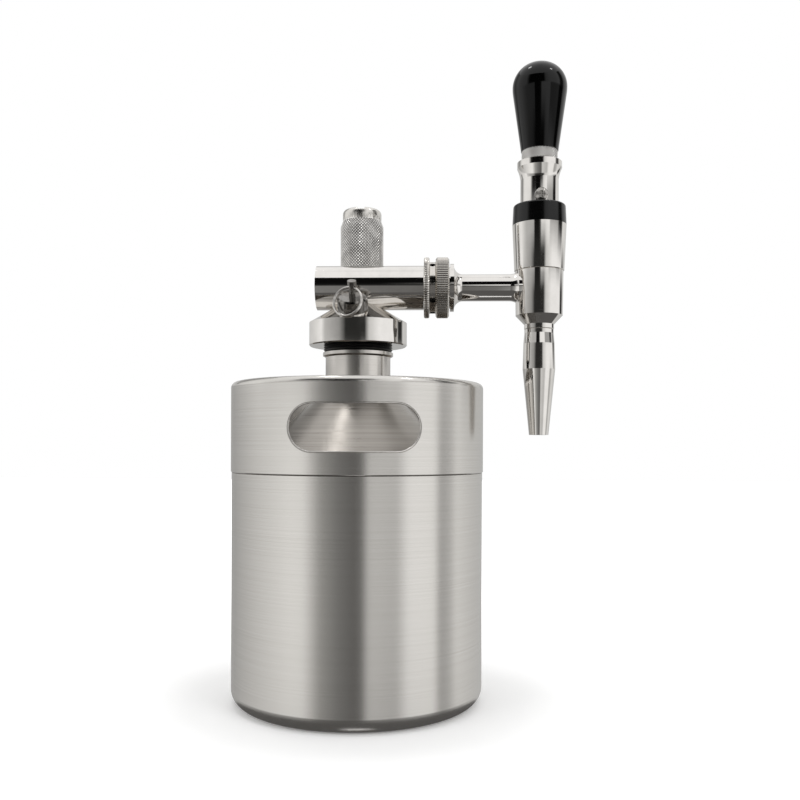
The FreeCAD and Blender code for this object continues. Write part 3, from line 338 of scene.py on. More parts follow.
# The sleeve's plain band: turned and lightly polished, so it blurs what it mirrors
BAND_STEEL = SteelFinish(
    "turned_304_band", "e0ddd8", "d0cdc8", 0.22, 0.03, Grain.ROUND_Z, 0.3, 0.05, 0.0, 0.02,
)
# The rolled rim of a hand slot: polished by handling, bright with a dark line
RIM_STEEL = SteelFinish("worn_304_rim", "dddad6", "cbc8c3", 0.1, 0.03, Grain.NONE, 1.2, 0.08, 0.0, 0.03)
# Drilled holes: the drill's rough wall, painted near black as the shade inside the holes
HOLE_SHADE_STEEL = SteelFinish("hole_shade_304", "1c1b1a", "0c0c0c", 0.6, 0.05, Grain.NONE, 1.0, 0.1, 0.0, 0.05)
# The relief valve: turned and tumbled, a duller shine than the castings
VALVE_STEEL = SteelFinish(
    "tumbled_304_valve", "8e8b87", "6c6966", 0.12, 0.03, Grain.NONE, 1.5, 0.08, 0.0, 0.03,
)
# Pivot screws: bright heads with a dull, stained recess look
SCREW_STEEL = SteelFinish("headed_304_screw", "b4b1ad", "8a8783", 0.2, 0.04, Grain.NONE, 0.8, 0.1, 0.0, 0.04)
# The weld joint: darkened as painted shade of the crevice between shell and ring
SEAM_SHADE_STEEL = SteelFinish("seam_shade_weld_304", "4a4540", "2b2826", 0.45, 0.08, Grain.NONE, 1.0, 0.3, 0.0, 0.05)
# Plain turned bar inside the head and tap
PLAIN_STEEL = SteelFinish(
    "turned_304_bar", "d2cec9", "c2beb9", 0.16, 0.03, Grain.ROUND_Z, 0.3, 0.06, 0.0, 0.03,
)
# Zinc-plated cartridge: cool grey and a little cloudy
ZINC_STEEL = SteelFinish("zinc_plated_steel", "b6b8ba", "9fa1a4", 0.28, 0.06, Grain.NONE, 1.2, 0.2, 0.0, 0.08)
# Machined brass insert: yellow with turning lines
BRASS = SteelFinish("machined_brass", "cfa960", "b48f4a", 0.22, 0.05, Grain.ROUND_Z, 0.3, 0.2, 0.0, 0.03)
# Nitrile rubber: deep black with a soft sheen on its ribs
RUBBER = MouldedFinish("nitrile_rubber", "0c0c0c", "161616", 0.42, 0.06, 0.25, 0.12, 0.45)
# Acetal bearing cap: satin black with a clear edge light
CAP_PLASTIC = MouldedFinish("moulded_acetal", "050505", "080808", 0.12, 0.03, 0.4, 0.04, 0.35)
# Phenolic knob: glossy black that mirrors the windows
KNOB_PLASTIC = MouldedFinish("polished_phenolic", "020202", "040404", 0.06, 0.012, 1.2, 0.02, 0.27)
# Natural acetal flow straightener: milky white
WHITE_PLASTIC = MouldedFinish("natural_acetal", "dcdbd5", "cfcec8", 0.38, 0.05, 0.4, 0.08, 0.5)

Finish = SteelFinish | KnurlFinish | MouldedFinish

NODE_FINISH: dict[str, Finish] = {
    "keg_body": KEG_STEEL, "handle_ring": KEG_STEEL, "keg_shoulder": SHOULDER_STEEL, "keg_neck": PLAIN_STEEL,
    "neck_seal": RUBBER, "head_body": MIRROR_STEEL, "dip_tube": PLAIN_STEEL, "dip_tube_seal": RUBBER,
    "piercing_pin": PLAIN_STEEL, "cartridge_seal": RUBBER, "gas_cartridge": ZINC_STEEL,
    "cartridge_sleeve": KNURL_STEEL, "relief_body": VALVE_STEEL, "relief_stem": VALVE_STEEL,
    "relief_seal": RUBBER, "relief_spring": PLAIN_STEEL, "pull_ring": MIRROR_STEEL, "tap_shank": PLAIN_STEEL,
    "shank_washer": RUBBER, "coupling_nut": NUT_STEEL, "faucet_body": MIRROR_STEEL, "bonnet": MIRROR_STEEL,
    "bonnet_seal": RUBBER, "shaft_seal": RUBBER, "bearing_cap": CAP_PLASTIC, "valve_shaft": PLAIN_STEEL,
    "seat_washer": RUBBER, "nozzle": MIRROR_STEEL, "nozzle_seal": RUBBER, "restrictor_disc": PLAIN_STEEL,
    "flow_straightener": WHITE_PLASTIC, "lever_collar": MIRROR_STEEL, "pivot_screws": SCREW_STEEL,
    "handle_stud": PLAIN_STEEL, "handle_ferrule": KNURL_STEEL, "knob": KNOB_PLASTIC, "knob_insert": BRASS,
}


class Paint:
    """Builds each finish once and lays it on nodes and pieces."""

    def __init__(self) -> None:
        """Start with no finish built."""
        self.built: dict[str, bpy.types.Material] = {}

    def get(self, finish: Finish) -> bpy.types.Material:
        """Give a finish's material, built on first use."""
        if finish.name not in self.built:
            self.built[finish.name] = finish.build()
        return self.built[finish.name]

    def lay(self, piece: bpy.types.Object, finish: Finish) -> None:
        """Put one finish on every slot of a piece."""
        material = self.get(finish)
        if not piece.material_slots:
            piece.data.materials.append(material)
        for place in piece.material_slots:
            place.material = material

    def dress_nodes(self) -> None:
        """Give every carried-over node its finish."""
        for name, finish in NODE_FINISH.items():
            self.lay(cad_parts[name], finish)
            log.info("node %s: %s", name, finish.name)


# Modelling helpers
def start_fresh() -> None:
    """Leave edit mode and deselect everything."""
    if bpy.context.object and bpy.context.object.mode != "OBJECT":
        bpy.ops.object.mode_set(mode="OBJECT")
    bpy.ops.object.select_all(action="DESELECT")


def take(piece: bpy.types.Object) -> None:
    """Select one piece alone and make it active."""
    start_fresh()
    piece.select_set(True)
    bpy.context.view_layer.objects.active = piece


def spin_profile(
    name: str, points: list[tuple[float, float]], steps: int, centre: Vector, axis: Vector,
) -> bpy.types.Object:
    """Turn a chain of radius and distance points into a closed surface of revolution.

    Args:
        name: The piece's name.
        points: Radius and distance along the axis, in metres, round a closed section.
        steps: How many steps make the full turn.
        centre: A point on the axis.
        axis: The axis, along X or Z.

    Returns:
        The turned piece.
    """
    along_x = abs(axis.x) > 0.5
    corners = []
    for radius, along in points:
        corner = Vector((along, 0, radius)) if along_x else Vector((radius, 0, along))
        corners.append(corner + centre)
    start_fresh()
    bpy.ops.mesh.primitive_plane_add(size=MM, location=corners[0])
    piece = bpy.context.object
    piece.name = name
    bpy.ops.object.mode_set(mode="EDIT")
    bpy.ops.mesh.merge(type="CENTER")
    for before, after in zip(corners, corners[1:] + corners[:1]):
        bpy.ops.mesh.extrude_region_move(TRANSFORM_OT_translate={"value": after - before})
    bpy.ops.mesh.select_all(action="SELECT")
    bpy.ops.mesh.spin(steps=steps, angle=math.tau, center=centre, axis=axis)
    bpy.ops.mesh.select_all(action="SELECT")
    bpy.ops.mesh.remove_doubles(threshold=MERGE)
    bpy.ops.mesh.normals_make_consistent(inside=False)
    bpy.ops.object.mode_set(mode="OBJECT")
    bpy.ops.object.transform_apply(location=True, rotation=True, scale=True)
    return piece


def press_pattern(
    piece: bpy.types.Object, centre: Vector, axis: Vector, depth_at: Callable[[float, float, float], float],
) -> None:
    """Press a pattern into a turned piece, and keep how deep it goes for the finish.

    Args:
        piece: The turned piece.
        centre: A point on the axis.
        axis: The axis, along X or Z.
        depth_at: Gives the depth for an angle, a distance along the axis and a radius.
    """
    along_x = abs(axis.x) > 0.5
    groove = piece.data.attributes.new(GROOVE, "FLOAT", "POINT")
    deepest = MERGE
    for point in piece.data.vertices:
        local = point.co - centre
        first, second, along = (local.y, local.z, point.co.x) if along_x else (local.x, local.y, point.co.z)
        radius = math.hypot(first, second)
        if radius < MERGE:
            continue
        depth = depth_at(math.atan2(second, first), along, radius)
        groove.data[point.index].value = depth
        deepest = max(deepest, depth)
        scale = (radius - depth) / radius
        if along_x:
            point.co = Vector((point.co.x, centre.y + local.y * scale, centre.z + local.z * scale))
        else:
            point.co = Vector((centre.x + local.x * scale, centre.y + local.y * scale, point.co.z))
    for entry in groove.data:
        entry.value = max(0.0, entry.value / deepest)


def apply_modifiers(piece: bpy.types.Object) -> None:
    """Apply every modifier on a piece in order."""
    take(piece)
    for modifier in list(piece.modifiers):
        bpy.ops.object.modifier_apply(modifier=modifier.name)


def cut_away(piece: bpy.types.Object, tool: bpy.types.Object) -> None:
    """Cut a tool's shape out of a piece and remove the tool."""
    modifier = piece.modifiers.new("cut", "BOOLEAN")
    modifier.operation = "DIFFERENCE"
    modifier.solver = "EXACT"
    modifier.object = tool
    apply_modifiers(piece)
    bpy.data.objects.remove(tool)


def smooth(piece: bpy.types.Object, degrees: float) -> None:
    """Shade a piece smooth, with edges sharper than the angle kept."""
    take(piece)
    bpy.ops.object.shade_smooth_by_angle(angle=math.radians(degrees))


def hand_over(piece: bpy.types.Object, nodes: list[str], body: str) -> None:
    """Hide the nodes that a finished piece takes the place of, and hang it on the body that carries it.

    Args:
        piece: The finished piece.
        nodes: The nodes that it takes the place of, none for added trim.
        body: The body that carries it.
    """
    if nodes:
        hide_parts(*nodes)
    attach(piece, body)
    log.info("piece %s rides on %s", piece.name, body)


@dataclass
class DiamondKnurl:
    """A pressed diamond knurl of small pyramids round a bar of a given radius."""

    radius: float
    start: float
    pitch: float
    depth: float
    fineness: int = 6

    @property
    def grooves(self) -> int:
        """How many grooves of one hand go round the bar."""
        return round(math.tau * self.radius / self.pitch)

    @property
    def steps(self) -> int:
        """How many steps round the bar land on every ridge and groove."""
        return self.grooves * self.fineness

    def depth_at(self, angle: float, along: float) -> float:
        """Depth of the two crossing sets of grooves at a place.

        Args:
            angle: Angle round the axis.
            along: Distance along the axis.

        Returns:
            How far the surface goes in.
        """
        turn = angle / math.tau * self.grooves
        rise = (along - self.start) / self.pitch
        left = abs((turn + rise) % 1.0 - 0.5) * 2
        right = abs((turn - rise) % 1.0 - 0.5) * 2
        return self.depth * max(left, right)

    def heights(self, low: float, high: float) -> list[float]:
        """Heights on the knurl's own rows between two heights."""
        row = self.pitch / self.fineness
        first = math.ceil((low - self.start) / row - 0.001)
        last = math.floor((high - self.start) / row + 0.001)
        return [self.start + row * number for number in range(first, last + 1)]


# Sub-assemblies
@dataclass
class CartridgeSleeve:
    """The knurled sleeve that screws down over the gas cartridge."""

    paint: Paint
    # The real pitch is near 1.1 mm, too fine to show in the render
    pitch: float = 1.7 * MM
    knurl_depth: float = 0.45 * MM
    band: float = 6.2 * MM
    taper: float = 3.6 * MM
    band_step: float = 1.3 * MM
    round_edge: float = 2.6 * MM
    slot_width: float = 4.2 * MM
    slot_depth: float = 1.4 * MM
    wall: float = 2.3 * MM
    roof: float = 3.68 * MM
    tip_hole: float = 0.2 * MM
    edge: float = 0.4 * MM
    edge_steps: int = 6
    crease: float = 38.0

    def build(self) -> bpy.types.Object:
        """Model the sleeve with its knurl, chamfer, smooth band and coin slot."""
        low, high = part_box("cartridge_sleeve")
        centre = Vector(((low.x + high.x) / 2, (low.y + high.y) / 2, 0))
        outer = (high.x - low.x) / 2
        inner = outer - self.wall
        band_low = high.z - self.band
        taper_low = band_low - self.taper
        band_radius = outer - self.band_step
        knurl = DiamondKnurl(outer, low.z, self.pitch, self.knurl_depth)
        points = [(inner, low.z), (outer - self.edge, low.z)]
        slope = (outer - band_radius) / self.taper
        for height in knurl.heights(low.z + self.edge, band_low - self.edge):
            points.append((outer - max(0.0, height - taper_low) * slope, height))
        points += [(band_radius, band_low), (band_radius, high.z - self.round_edge)]
        for number in range(1, self.edge_steps + 1):
            angle = number / self.edge_steps * math.pi / 2
            points.append((
                band_radius - self.round_edge * (1 - math.cos(angle)),
                high.z - self.round_edge * (1 - math.sin(angle)),
            ))
        roof_low = high.z - self.roof
        points += [(self.tip_hole, high.z), (self.tip_hole, roof_low), (inner, roof_low)]
        piece = spin_profile("knurled_sleeve", points, knurl.steps, centre, UP)

        def pressed(angle: float, along: float, radius: float) -> float:
            """Depth of the knurl, only on its own band."""
            inside = low.z + self.edge < along < band_low - self.edge / 2 and radius > band_radius
            return knurl.depth_at(angle, along) if inside else 0.0

        press_pattern(piece, centre, UP, pressed)
        start_fresh()
        bpy.ops.mesh.primitive_cube_add(size=1, location=(centre.x, centre.y, high.z))
        tool = bpy.context.object
        tool.scale = (self.slot_width, outer * 3, self.slot_depth * 2)
        bpy.ops.object.transform_apply(location=True, rotation=True, scale=True)
        cut_away(piece, tool)
        smooth(piece, self.crease)
        self.paint.lay(piece, KNURL_STEEL)
        piece.data.materials.append(self.paint.get(BAND_STEEL))
        for face in piece.data.polygons:
            face.material_index = 1 if face.center.z > band_low - 0.1 * MM else 0
        hand_over(piece, ["cartridge_sleeve"], "sleeve")
        return piece


@dataclass
class CouplingNut:
    """The nut with a knurled lip, a groove of spanner holes and a wide straight-knurled ring."""

    paint: Paint
    lip: float = 2.9 * MM
    groove: float = 6.3 * MM
    groove_radius: float = 13.8 * MM
    groove_edge: float = 0.3 * MM
    bore: float = 7.75 * MM
    cavity: float = 11.65 * MM
    cavity_start: float = 8.1 * MM
    teeth: int = 84
    tooth_steps: int = 6
    tooth_depth: float = 0.38 * MM
    edge: float = 0.5 * MM
    ring_edge: float = 0.8 * MM
    ring_inset: float = 1.0 * MM
    hole_radius: float = 1.6 * MM
    hole_depth: float = 2.7 * MM
    hole_sides: int = 24
    hole_count: int = 8
    hole_turn: float = 38.0
    crease: float = 40.0

    def build(self) -> bpy.types.Object:
        """Model the nut, press its knurls and bore its spanner holes."""
        low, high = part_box("coupling_nut")
        start, end = low.x, high.x
        outer = (high.z - low.z) / 2
        centre = Vector((0, (low.y + high.y) / 2, (low.z + high.z) / 2))
        groove_start = start + self.lip
        groove_end = start + self.groove
        points = [
            (self.bore, start), (outer - self.edge, start), (outer, start + self.edge),
            (outer, groove_start - self.edge), (outer - self.edge, groove_start),
            (self.groove_radius + self.groove_edge, groove_start),
            (self.groove_radius, groove_start + self.groove_edge),
            (self.groove_radius, groove_end - self.groove_edge),
            (self.groove_radius + self.groove_edge, groove_end),
            (outer - self.ring_inset, groove_end), (outer, groove_end + self.ring_edge),
            (outer, end - self.ring_edge), (outer - self.ring_inset, end),
            (self.cavity, end), (self.cavity, start + self.cavity_start),
            (self.bore, start + self.cavity_start),
        ]
        axis = Vector((1, 0, 0))
        piece = spin_profile("knurled_nut", points, self.teeth * self.tooth_steps, centre, axis)

        def pressed(angle: float, along: float, radius: float) -> float:
            """Depth of the straight teeth on the rims alone."""
            if radius < outer - self.edge * 0.5:
                return 0.0
            fraction = abs((angle / math.tau * self.teeth) % 1.0 - 0.5) * 2
            return self.tooth_depth * fraction ** 2

        press_pattern(piece, centre, axis, pressed)
        middle = (groove_start + groove_end) / 2
        for number in range(self.hole_count):
            angle = number * math.tau / self.hole_count + math.radians(self.hole_turn)
            reach = Vector((0, math.cos(angle), math.sin(angle))) * self.groove_radius
            place = Vector((middle, centre.y, centre.z)) + reach
            start_fresh()
            bpy.ops.mesh.primitive_cylinder_add(
                vertices=self.hole_sides, radius=self.hole_radius, depth=self.hole_depth * 2, location=place,
                rotation=(angle - math.pi / 2, 0, 0),
            )
            tool = bpy.context.object
            bpy.ops.object.transform_apply(location=True, rotation=True, scale=True)
            cut_away(piece, tool)
        smooth(piece, self.crease)
        self.paint.lay(piece, NUT_STEEL)
        # The hole walls get the near-black finish: painted shade inside the spanner holes
        piece.data.materials.append(self.paint.get(HOLE_SHADE_STEEL))
        for face in piece.data.polygons:
            off_axis = math.hypot(face.center.y - centre.y, face.center.z - centre.z)
            under_groove = off_axis < self.groove_radius - self.groove_edge / 2
            hole_shaded = under_groove and groove_start < face.center.x < groove_end
            face.material_index = 1 if hole_shaded and off_axis > self.cavity else 0
        hand_over(piece, ["coupling_nut"], "nut")
        return piece


@dataclass
class HandleFerrule:
    """The small diamond-knurled ring under the knob."""

    paint: Paint
    pitch: float = 1.55 * MM
    knurl_depth: float = 0.4 * MM
    edge: float = 0.3 * MM
    bore: float = 4.2 * MM
    crease: float = 38.0

    def build(self) -> bpy.types.Object:
        """Model the ferrule and press its knurl."""
        low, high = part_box("handle_ferrule")
        centre = Vector(((low.x + high.x) / 2, (low.y + high.y) / 2, 0))
        outer = (high.x - low.x) / 2
        knurl = DiamondKnurl(outer, low.z, self.pitch, self.knurl_depth)
        points = [(self.bore, low.z), (outer - self.edge, low.z)]
        points += [(outer, height) for height in knurl.heights(low.z + self.edge, high.z - self.edge)]
        points += [(outer - self.edge, high.z), (self.bore, high.z)]
        piece = spin_profile("knurled_ferrule", points, knurl.steps, centre, UP)

        def pressed(angle: float, along: float, radius: float) -> float:
            """Depth of the knurl on the outer face alone."""
            return knurl.depth_at(angle, along) if radius > outer - self.edge / 2 else 0.0

        press_pattern(piece, centre, UP, pressed)
        smooth(piece, self.crease)
        self.paint.lay(piece, KNURL_STEEL)
        hand_over(piece, ["handle_ferrule"], "lever")
        return piece


@dataclass
class PullRing:
    """The split ring of two close coils that lifts the relief valve's stem."""

    paint: Paint
    radius: float = 7.9 * MM
    wire: float = 0.46 * MM
    wire_sides: int = 12
    pitch: float = 0.88 * MM
    turns: float = 1.95
    steps: int = 170
    crease: float = 40.0

    def build(self) -> bpy.types.Object:
        """Model the ring's wire and coil it about the ring's own axis."""
        low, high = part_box("pull_ring")
        centre = (low + high) / 2
        normal = self.facing()
        side = normal.orthogonal().normalized()
        start_fresh()
        bpy.ops.mesh.primitive_circle_add(
            vertices=self.wire_sides, radius=self.wire, fill_type="NGON",
            location=centre + side * self.radius - normal * self.pitch * self.turns / 4,
            rotation=normal.cross(side).to_track_quat("Z", "Y").to_euler(),
        )
        piece = bpy.context.object
        piece.name = "split_ring"
        bpy.ops.object.transform_apply(location=True, rotation=True, scale=True)
        take(piece)
        bpy.ops.object.mode_set(mode="EDIT")
        bpy.ops.mesh.select_all(action="SELECT")
        bpy.ops.mesh.spin(steps=self.steps, angle=math.tau * self.turns, center=centre, axis=normal)
        bpy.ops.mesh.select_all(action="SELECT")
        bpy.ops.mesh.normals_make_consistent(inside=False)
        bpy.ops.object.mode_set(mode="OBJECT")
        self.spread_coils(piece, centre, normal)
        smooth(piece, self.crease)
        self.paint.lay(piece, MIRROR_STEEL)
        hand_over(piece, ["pull_ring"], "pull_ring")
        return piece

    def facing(self) -> Vector:
        """The direction the ring's flat side faces, found from its own mesh."""
        points = [point.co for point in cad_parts["pull_ring"].data.vertices]
        centre = sum(points, Vector()) / len(points)
        first = points[0] - centre
        best = max(points, key=lambda point: first.cross(point - centre).length)
        return first.cross(best - centre).normalized()

    def spread_coils(self, piece: bpy.types.Object, centre: Vector, normal: Vector) -> None:
        """Move each ring of points along the axis so that the coils lie side by side.

        Args:
            piece: The coiled wire, its points in the order the turn made them.
            centre: The ring's centre.
            normal: The ring's axis.
        """
        rings = len(piece.data.vertices) // self.wire_sides
        for number, point in enumerate(piece.data.vertices):
            done = number // self.wire_sides / rings
            point.co += normal * self.pitch * self.turns * (done - 0.25)


@dataclass
class SeamLine:
    """The joint between the keg's shell and its handle ring, darkened as painted shade of its crevice, with
    its small weld tacks.
    """

    paint: Paint
    inset: float = 0.3 * MM
    half_height: float = 0.32 * MM
    tack_degrees: tuple[float, ...] = (-171.0, -101.0, -27.0, 46.0, 118.0)
    # Half a tack's width, in degrees round the keg
    tack_reach: float = 1.1
    tack_rise: float = 0.26 * MM
    steps: int = 720
    crease: float = 50.0

    def build(self) -> bpy.types.Object:
        """Model the line round the joint and raise its tacks."""
        low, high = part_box("keg_body")
        joint = high.z
        outer = (high.x - low.x) / 2
        half = self.half_height
        points = [
            (outer - self.inset * 2, joint - half), (outer - self.inset, joint - half),
            (outer - self.inset * 0.6, joint - half / 2), (outer - self.inset * 0.6, joint + half / 2),
            (outer - self.inset, joint + half), (outer - self.inset * 2, joint + half),
        ]
        centre = Vector((0, 0, 0))
        piece = spin_profile("seam_line", points, self.steps, centre, UP)

        def raised(angle: float, along: float, radius: float) -> float:
            """Negative depth on a tack, nought elsewhere."""
            degrees = math.degrees(angle)
            near = min(abs((degrees - tack + 180) % 360 - 180) for tack in self.tack_degrees)
            return -self.tack_rise * max(0.0, 1 - near / self.tack_reach)

        press_pattern(piece, centre, UP, raised)
        smooth(piece, self.crease)
        # Near-black finish: painted shade in the crevice of the joint
        self.paint.lay(piece, SEAM_SHADE_STEEL)
        hand_over(piece, [], "keg")
        return piece


@dataclass
class SlotRims:
    """The thin rolled rims round the two hand slots of the handle ring."""

    paint: Paint
    middle_z: float = 145.8 * MM
    height: float = 23.4 * MM
    width: float = 63.6 * MM
    turn: float = 3.3
    wire: float = 0.42 * MM
    sunk: float = 0.5 * MM
    arc_steps: int = 20
    crease: float = 60.0

    def build(self) -> bpy.types.Object:
        """Bend one rim to the ring, copy it to the back and join the two."""
        low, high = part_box("handle_ring")
        radius = (high.x - low.x) / 2 - self.sunk
        rims = [self.bend_rim(radius, side * math.pi) for side in (0, 1)]
        take(rims[0])
        rims[1].select_set(True)
        bpy.ops.object.join()
        piece = bpy.context.object
        piece.name = "slot_rims"
        take(piece)
        bpy.ops.object.mode_set(mode="EDIT")
        bpy.ops.mesh.select_all(action="SELECT")
        bpy.ops.mesh.normals_make_consistent(inside=False)
        bpy.ops.object.mode_set(mode="OBJECT")
        smooth(piece, self.crease)
        self.paint.lay(piece, RIM_STEEL)
        hand_over(piece, [], "keg")
        return piece

    def outline(self) -> list[tuple[float, float]]:
        """Across and up places round the stadium-shaped slot."""
        end = self.height / 2
        straight = self.width / 2 - end
        places = []
        for side in (1, -1):
            for number in range(self.arc_steps + 1):
                angle = math.pi * (number / self.arc_steps - 0.5)
                places.append((side * (straight + end * math.cos(angle)), side * end * math.sin(angle)))
            for number in range(1, self.arc_steps):
                along = straight - 2 * straight * number / self.arc_steps
                places.append((side * along, side * end))
        return places

    def bend_rim(self, radius: float, start: float) -> bpy.types.Object:
        """Make one rim as a closed bevelled curve on the ring and turn it to a mesh.

        Args:
            radius: Distance of the rim's middle from the keg's axis.
            start: Turn from the front, in radians.

        Returns:
            The rim as a mesh.
        """
        start_fresh()
        bpy.ops.curve.primitive_bezier_circle_add(radius=self.height)
        rim = bpy.context.object
        line = rim.data
        line.splines.clear()
        places = self.outline()
        spline = line.splines.new("POLY")
        spline.points.add(len(places) - 1)
        spline.use_cyclic_u = True
        for point, (across, up) in zip(spline.points, places):
            angle = start + math.radians(self.turn) + math.asin(across / radius)
            point.co = (radius * math.sin(angle), -radius * math.cos(angle), self.middle_z + up, 1.0)
        line.bevel_depth = self.wire
        line.bevel_resolution = 2
        bpy.ops.object.convert(target="MESH")
        return bpy.context.object


# Studio
class Studio:
    """The pale floor, the round wall of soft boxes, the lamps and the camera."""

    # The camera, fitted to the photograph's proportions
    focal_px = 900.0
    frame_px = 800.0
    horizon_px = 445.0
    centre_px = 400.0
    camera_turn = 2.2
    camera_side = 23.0 * MM
    camera_distance = 490.3 * MM
    camera_height = 137.5 * MM
    camera_roll = -0.2
    sensor_mm = 36.0

    # Where the floor starts to turn white round the keg, and where it is white, in metres
    shadow_reach = 0.09
    shadow_end = 0.36
    floor_size = 6.0
    # Daylight of the room on the object
    room_light = 0.62
    wall_radius = 1.0
    wall_top = 8.0
    wall_foot = -8.0
    row_blend = 0.05
    panel_strength = 1.08

    # Rows of soft boxes and flags round the wall, from the lowest up: the height at which each row
    # starts, then degrees to the right of the camera and grey level. A row lights what mirrors its
    # height: table shade, keg, cap, tap body, then knob and cross tube, then open sky.
    PANEL_ROWS = [
        (-8.0, [(-180, "5a5958"), (180, "5a5958")]),
        (-0.42, [
            (-180, "acacab"), (-139, "a8a8a7"), (-112, "c4c4c3"), (-84, "e0e0df"), (-54, "fbfbfa"),
            (-42, "fbfbfa"), (-27, "a8a8a6"), (-12, "848483"), (4, "666564"), (9, "787877"), (14, "dadad9"),
            (38, "c6c6c5"), (49, "ffffff"), (74, "fdfdfc"), (81, "aeaead"), (92, "c4c4c3"), (101, "eaeae9"),
            (125, "d4d4d3"), (150, "c0c0bf"), (180, "acacab"),
        ]),
        (0.26, [
            (-180, "b8b8b7"), (-110, "e8e8e7"), (-90, "ffffff"), (-78, "c8c8c7"), (-40, "9a9a99"),
            (-24, "2c2c2b"), (20, "2c2c2b"), (30, "d8d8d7"), (56, "ffffff"), (104, "ffffff"), (112, "30302f"),
            (126, "30302f"), (134, "d8d8d7"), (180, "b8b8b7"),
        ]),
        (0.36, [
            (-180, "c8c8c7"), (-142, "c8c8c7"), (-134, "3a3a39"), (-124, "e6e6e5"), (-90, "f8f8f7"),
            (-60, "c0c0bf"), (-25, "bababa"), (-21, "121212"), (-3, "121212"), (3, "4a4a49"), (8, "fbfbfa"),
            (40, "ffffff"), (45, "a8a8a7"), (78, "a8a8a7"), (84, "1c1c1c"), (100, "1c1c1c"), (108, "e8e8e7"),
            (142, "d8d8d7"), (180, "c8c8c7"),
        ]),
        (0.52, [
            (-180, "d8d8d7"), (-134, "8a8a89"), (-110, "f6f6f5"), (-60, "f2f2f1"), (-48, "4c4c4b"),
            (-42, "0c0c0c"), (16, "0c0c0c"), (24, "dededd"), (40, "ffffff"), (80, "ffffff"), (88, "4a4a49"),
            (100, "4a4a49"), (110, "e8e8e7"), (180, "d8d8d7"),
        ]),
        (1.25, [(-180, "ffffff"), (180, "ffffff")]),
    ]

    # Each lamp's name, place, size in metres, power in watts and whether metals mirror it
    LAMPS = (
        ("key", Vector((0.9, -0.9, 0.9)), 0.7, 5.0, False),
        ("fill", Vector((-1.0, -0.8, 0.8)), 0.9, 4.0, False),
        ("top", Vector((0.0, 0.1, 1.3)), 1.0, 3.0, False),
        ("spot_left", Vector((-0.22, 0.10, 1.12)), 0.11, 0.4, True),
        ("spot_right", Vector((0.52, -0.15, 1.08)), 0.09, 0.3, True),
    )
    lamp_aim = Vector((0, 0, 0.18))

    def build(self) -> None:
        """Make the camera, world, floor, wall and lamps."""
        self.make_camera()
        self.make_world()
        self.make_floor()
        self.make_wall()
        self.make_lamps()

    def make_camera(self) -> None:
        """Place the camera as the photograph's proportions give it."""
        turn = math.radians(self.camera_turn)
        right = Vector((math.cos(turn), math.sin(turn), 0))
        forward = Vector((-math.sin(turn), math.cos(turn), 0))
        place = right * self.camera_side - forward * self.camera_distance + UP * self.camera_height
        data = bpy.data.cameras.new("camera")
        data.sensor_width = self.sensor_mm
        data.lens = self.focal_px / self.frame_px * self.sensor_mm
        data.shift_y = (self.horizon_px - self.centre_px) / self.frame_px
        data.clip_start = 0.01
        camera = bpy.data.objects.new("camera", data)
        camera.location = place
        camera.rotation_euler = (math.pi / 2, math.radians(self.camera_roll), turn)
        bpy.context.collection.objects.link(camera)
        bpy.context.scene.camera = camera

    def make_world(self) -> None:
        """A pale room that shows white behind the object."""
        world = bpy.data.worlds.new("pale_room")
        bpy.context.scene.world = world
        world.use_nodes = True
        tree = world.node_tree
        tree.nodes.clear()
        rays = add_node(tree, "ShaderNodeLightPath", {}, {})
        seen = add_node(
            tree, "ShaderNodeMath", {}, {0: rays.outputs["Is Camera Ray"], 1: rays.outputs["Is Glossy Ray"]},
            operation="MAXIMUM",
        )
        through = add_node(
            tree, "ShaderNodeMath", {}, {0: seen.outputs["Value"], 1: rays.outputs["Is Transmission Ray"]},
            operation="MAXIMUM",
        )
        level = add_node(
            tree, "ShaderNodeMapRange", {"To Min": self.room_light, "To Max": 1.0},
            {"Value": through.outputs["Value"]},
        )
        back = add_node(
            tree, "ShaderNodeBackground", {"Color": colour("ffffff")}, {"Strength": level.outputs["Result"]}
        )
        output = tree.nodes.new("ShaderNodeOutputWorld")
        tree.links.new(back.outputs["Background"], output.inputs["Surface"])

    def make_floor(self) -> None:
        """A pale floor that shows white but keeps the object's shadow."""
        start_fresh()
        bpy.ops.mesh.primitive_plane_add(size=self.floor_size, location=(0, 0, 0))
        floor = bpy.context.object
        floor.name = "floor"
        material, tree, output = blank_material("pale_floor")
        place = add_node(tree, "ShaderNodeTexCoord", {}, {})
        speck = add_node(
            tree, "ShaderNodeTexNoise", {"Scale": FLOOR_SCALE, "Detail": 2.0},
            {"Vector": place.outputs["Object"]},
        )
        tint = add_node(tree, "ShaderNodeValToRGB", {}, {"Fac": speck.outputs["Fac"]})
        set_ramp(tint, [(0.3, "fdfdfd"), (0.7, "ffffff")])
        shader = add_node(
            tree, "ShaderNodeBsdfPrincipled", {"Roughness": 0.6, "Specular IOR Level": 0.2},
            {"Base Color": tint.outputs["Color"]},
        )
        distance = add_node(
            tree, "ShaderNodeVectorMath", {}, {0: place.outputs["Object"]}, operation="LENGTH"
        )
        lift = add_node(
            tree, "ShaderNodeMapRange",
            {"From Min": self.shadow_reach, "From Max": self.shadow_end, "To Min": 0.1, "To Max": 1.0},
            {"Value": distance.outputs["Value"]},
        )
        rays = add_node(tree, "ShaderNodeLightPath", {}, {})
        shown = add_node(
            tree, "ShaderNodeMath", {}, {0: lift.outputs["Result"], 1: rays.outputs["Is Camera Ray"]},
            operation="MULTIPLY",
        )
        white = add_node(
            tree, "ShaderNodeEmission", {"Color": colour("ffffff")}, {"Strength": shown.outputs["Value"]}
        )
        both = add_node(
            tree, "ShaderNodeAddShader", {}, {0: shader.outputs["BSDF"], 1: white.outputs["Emission"]}
        )
        tree.links.new(both.outputs["Shader"], output.inputs["Surface"])
        floor.data.materials.append(material)
        # Metals mirror the soft boxes under the floor's edge instead of the floor
        floor.visible_glossy = False

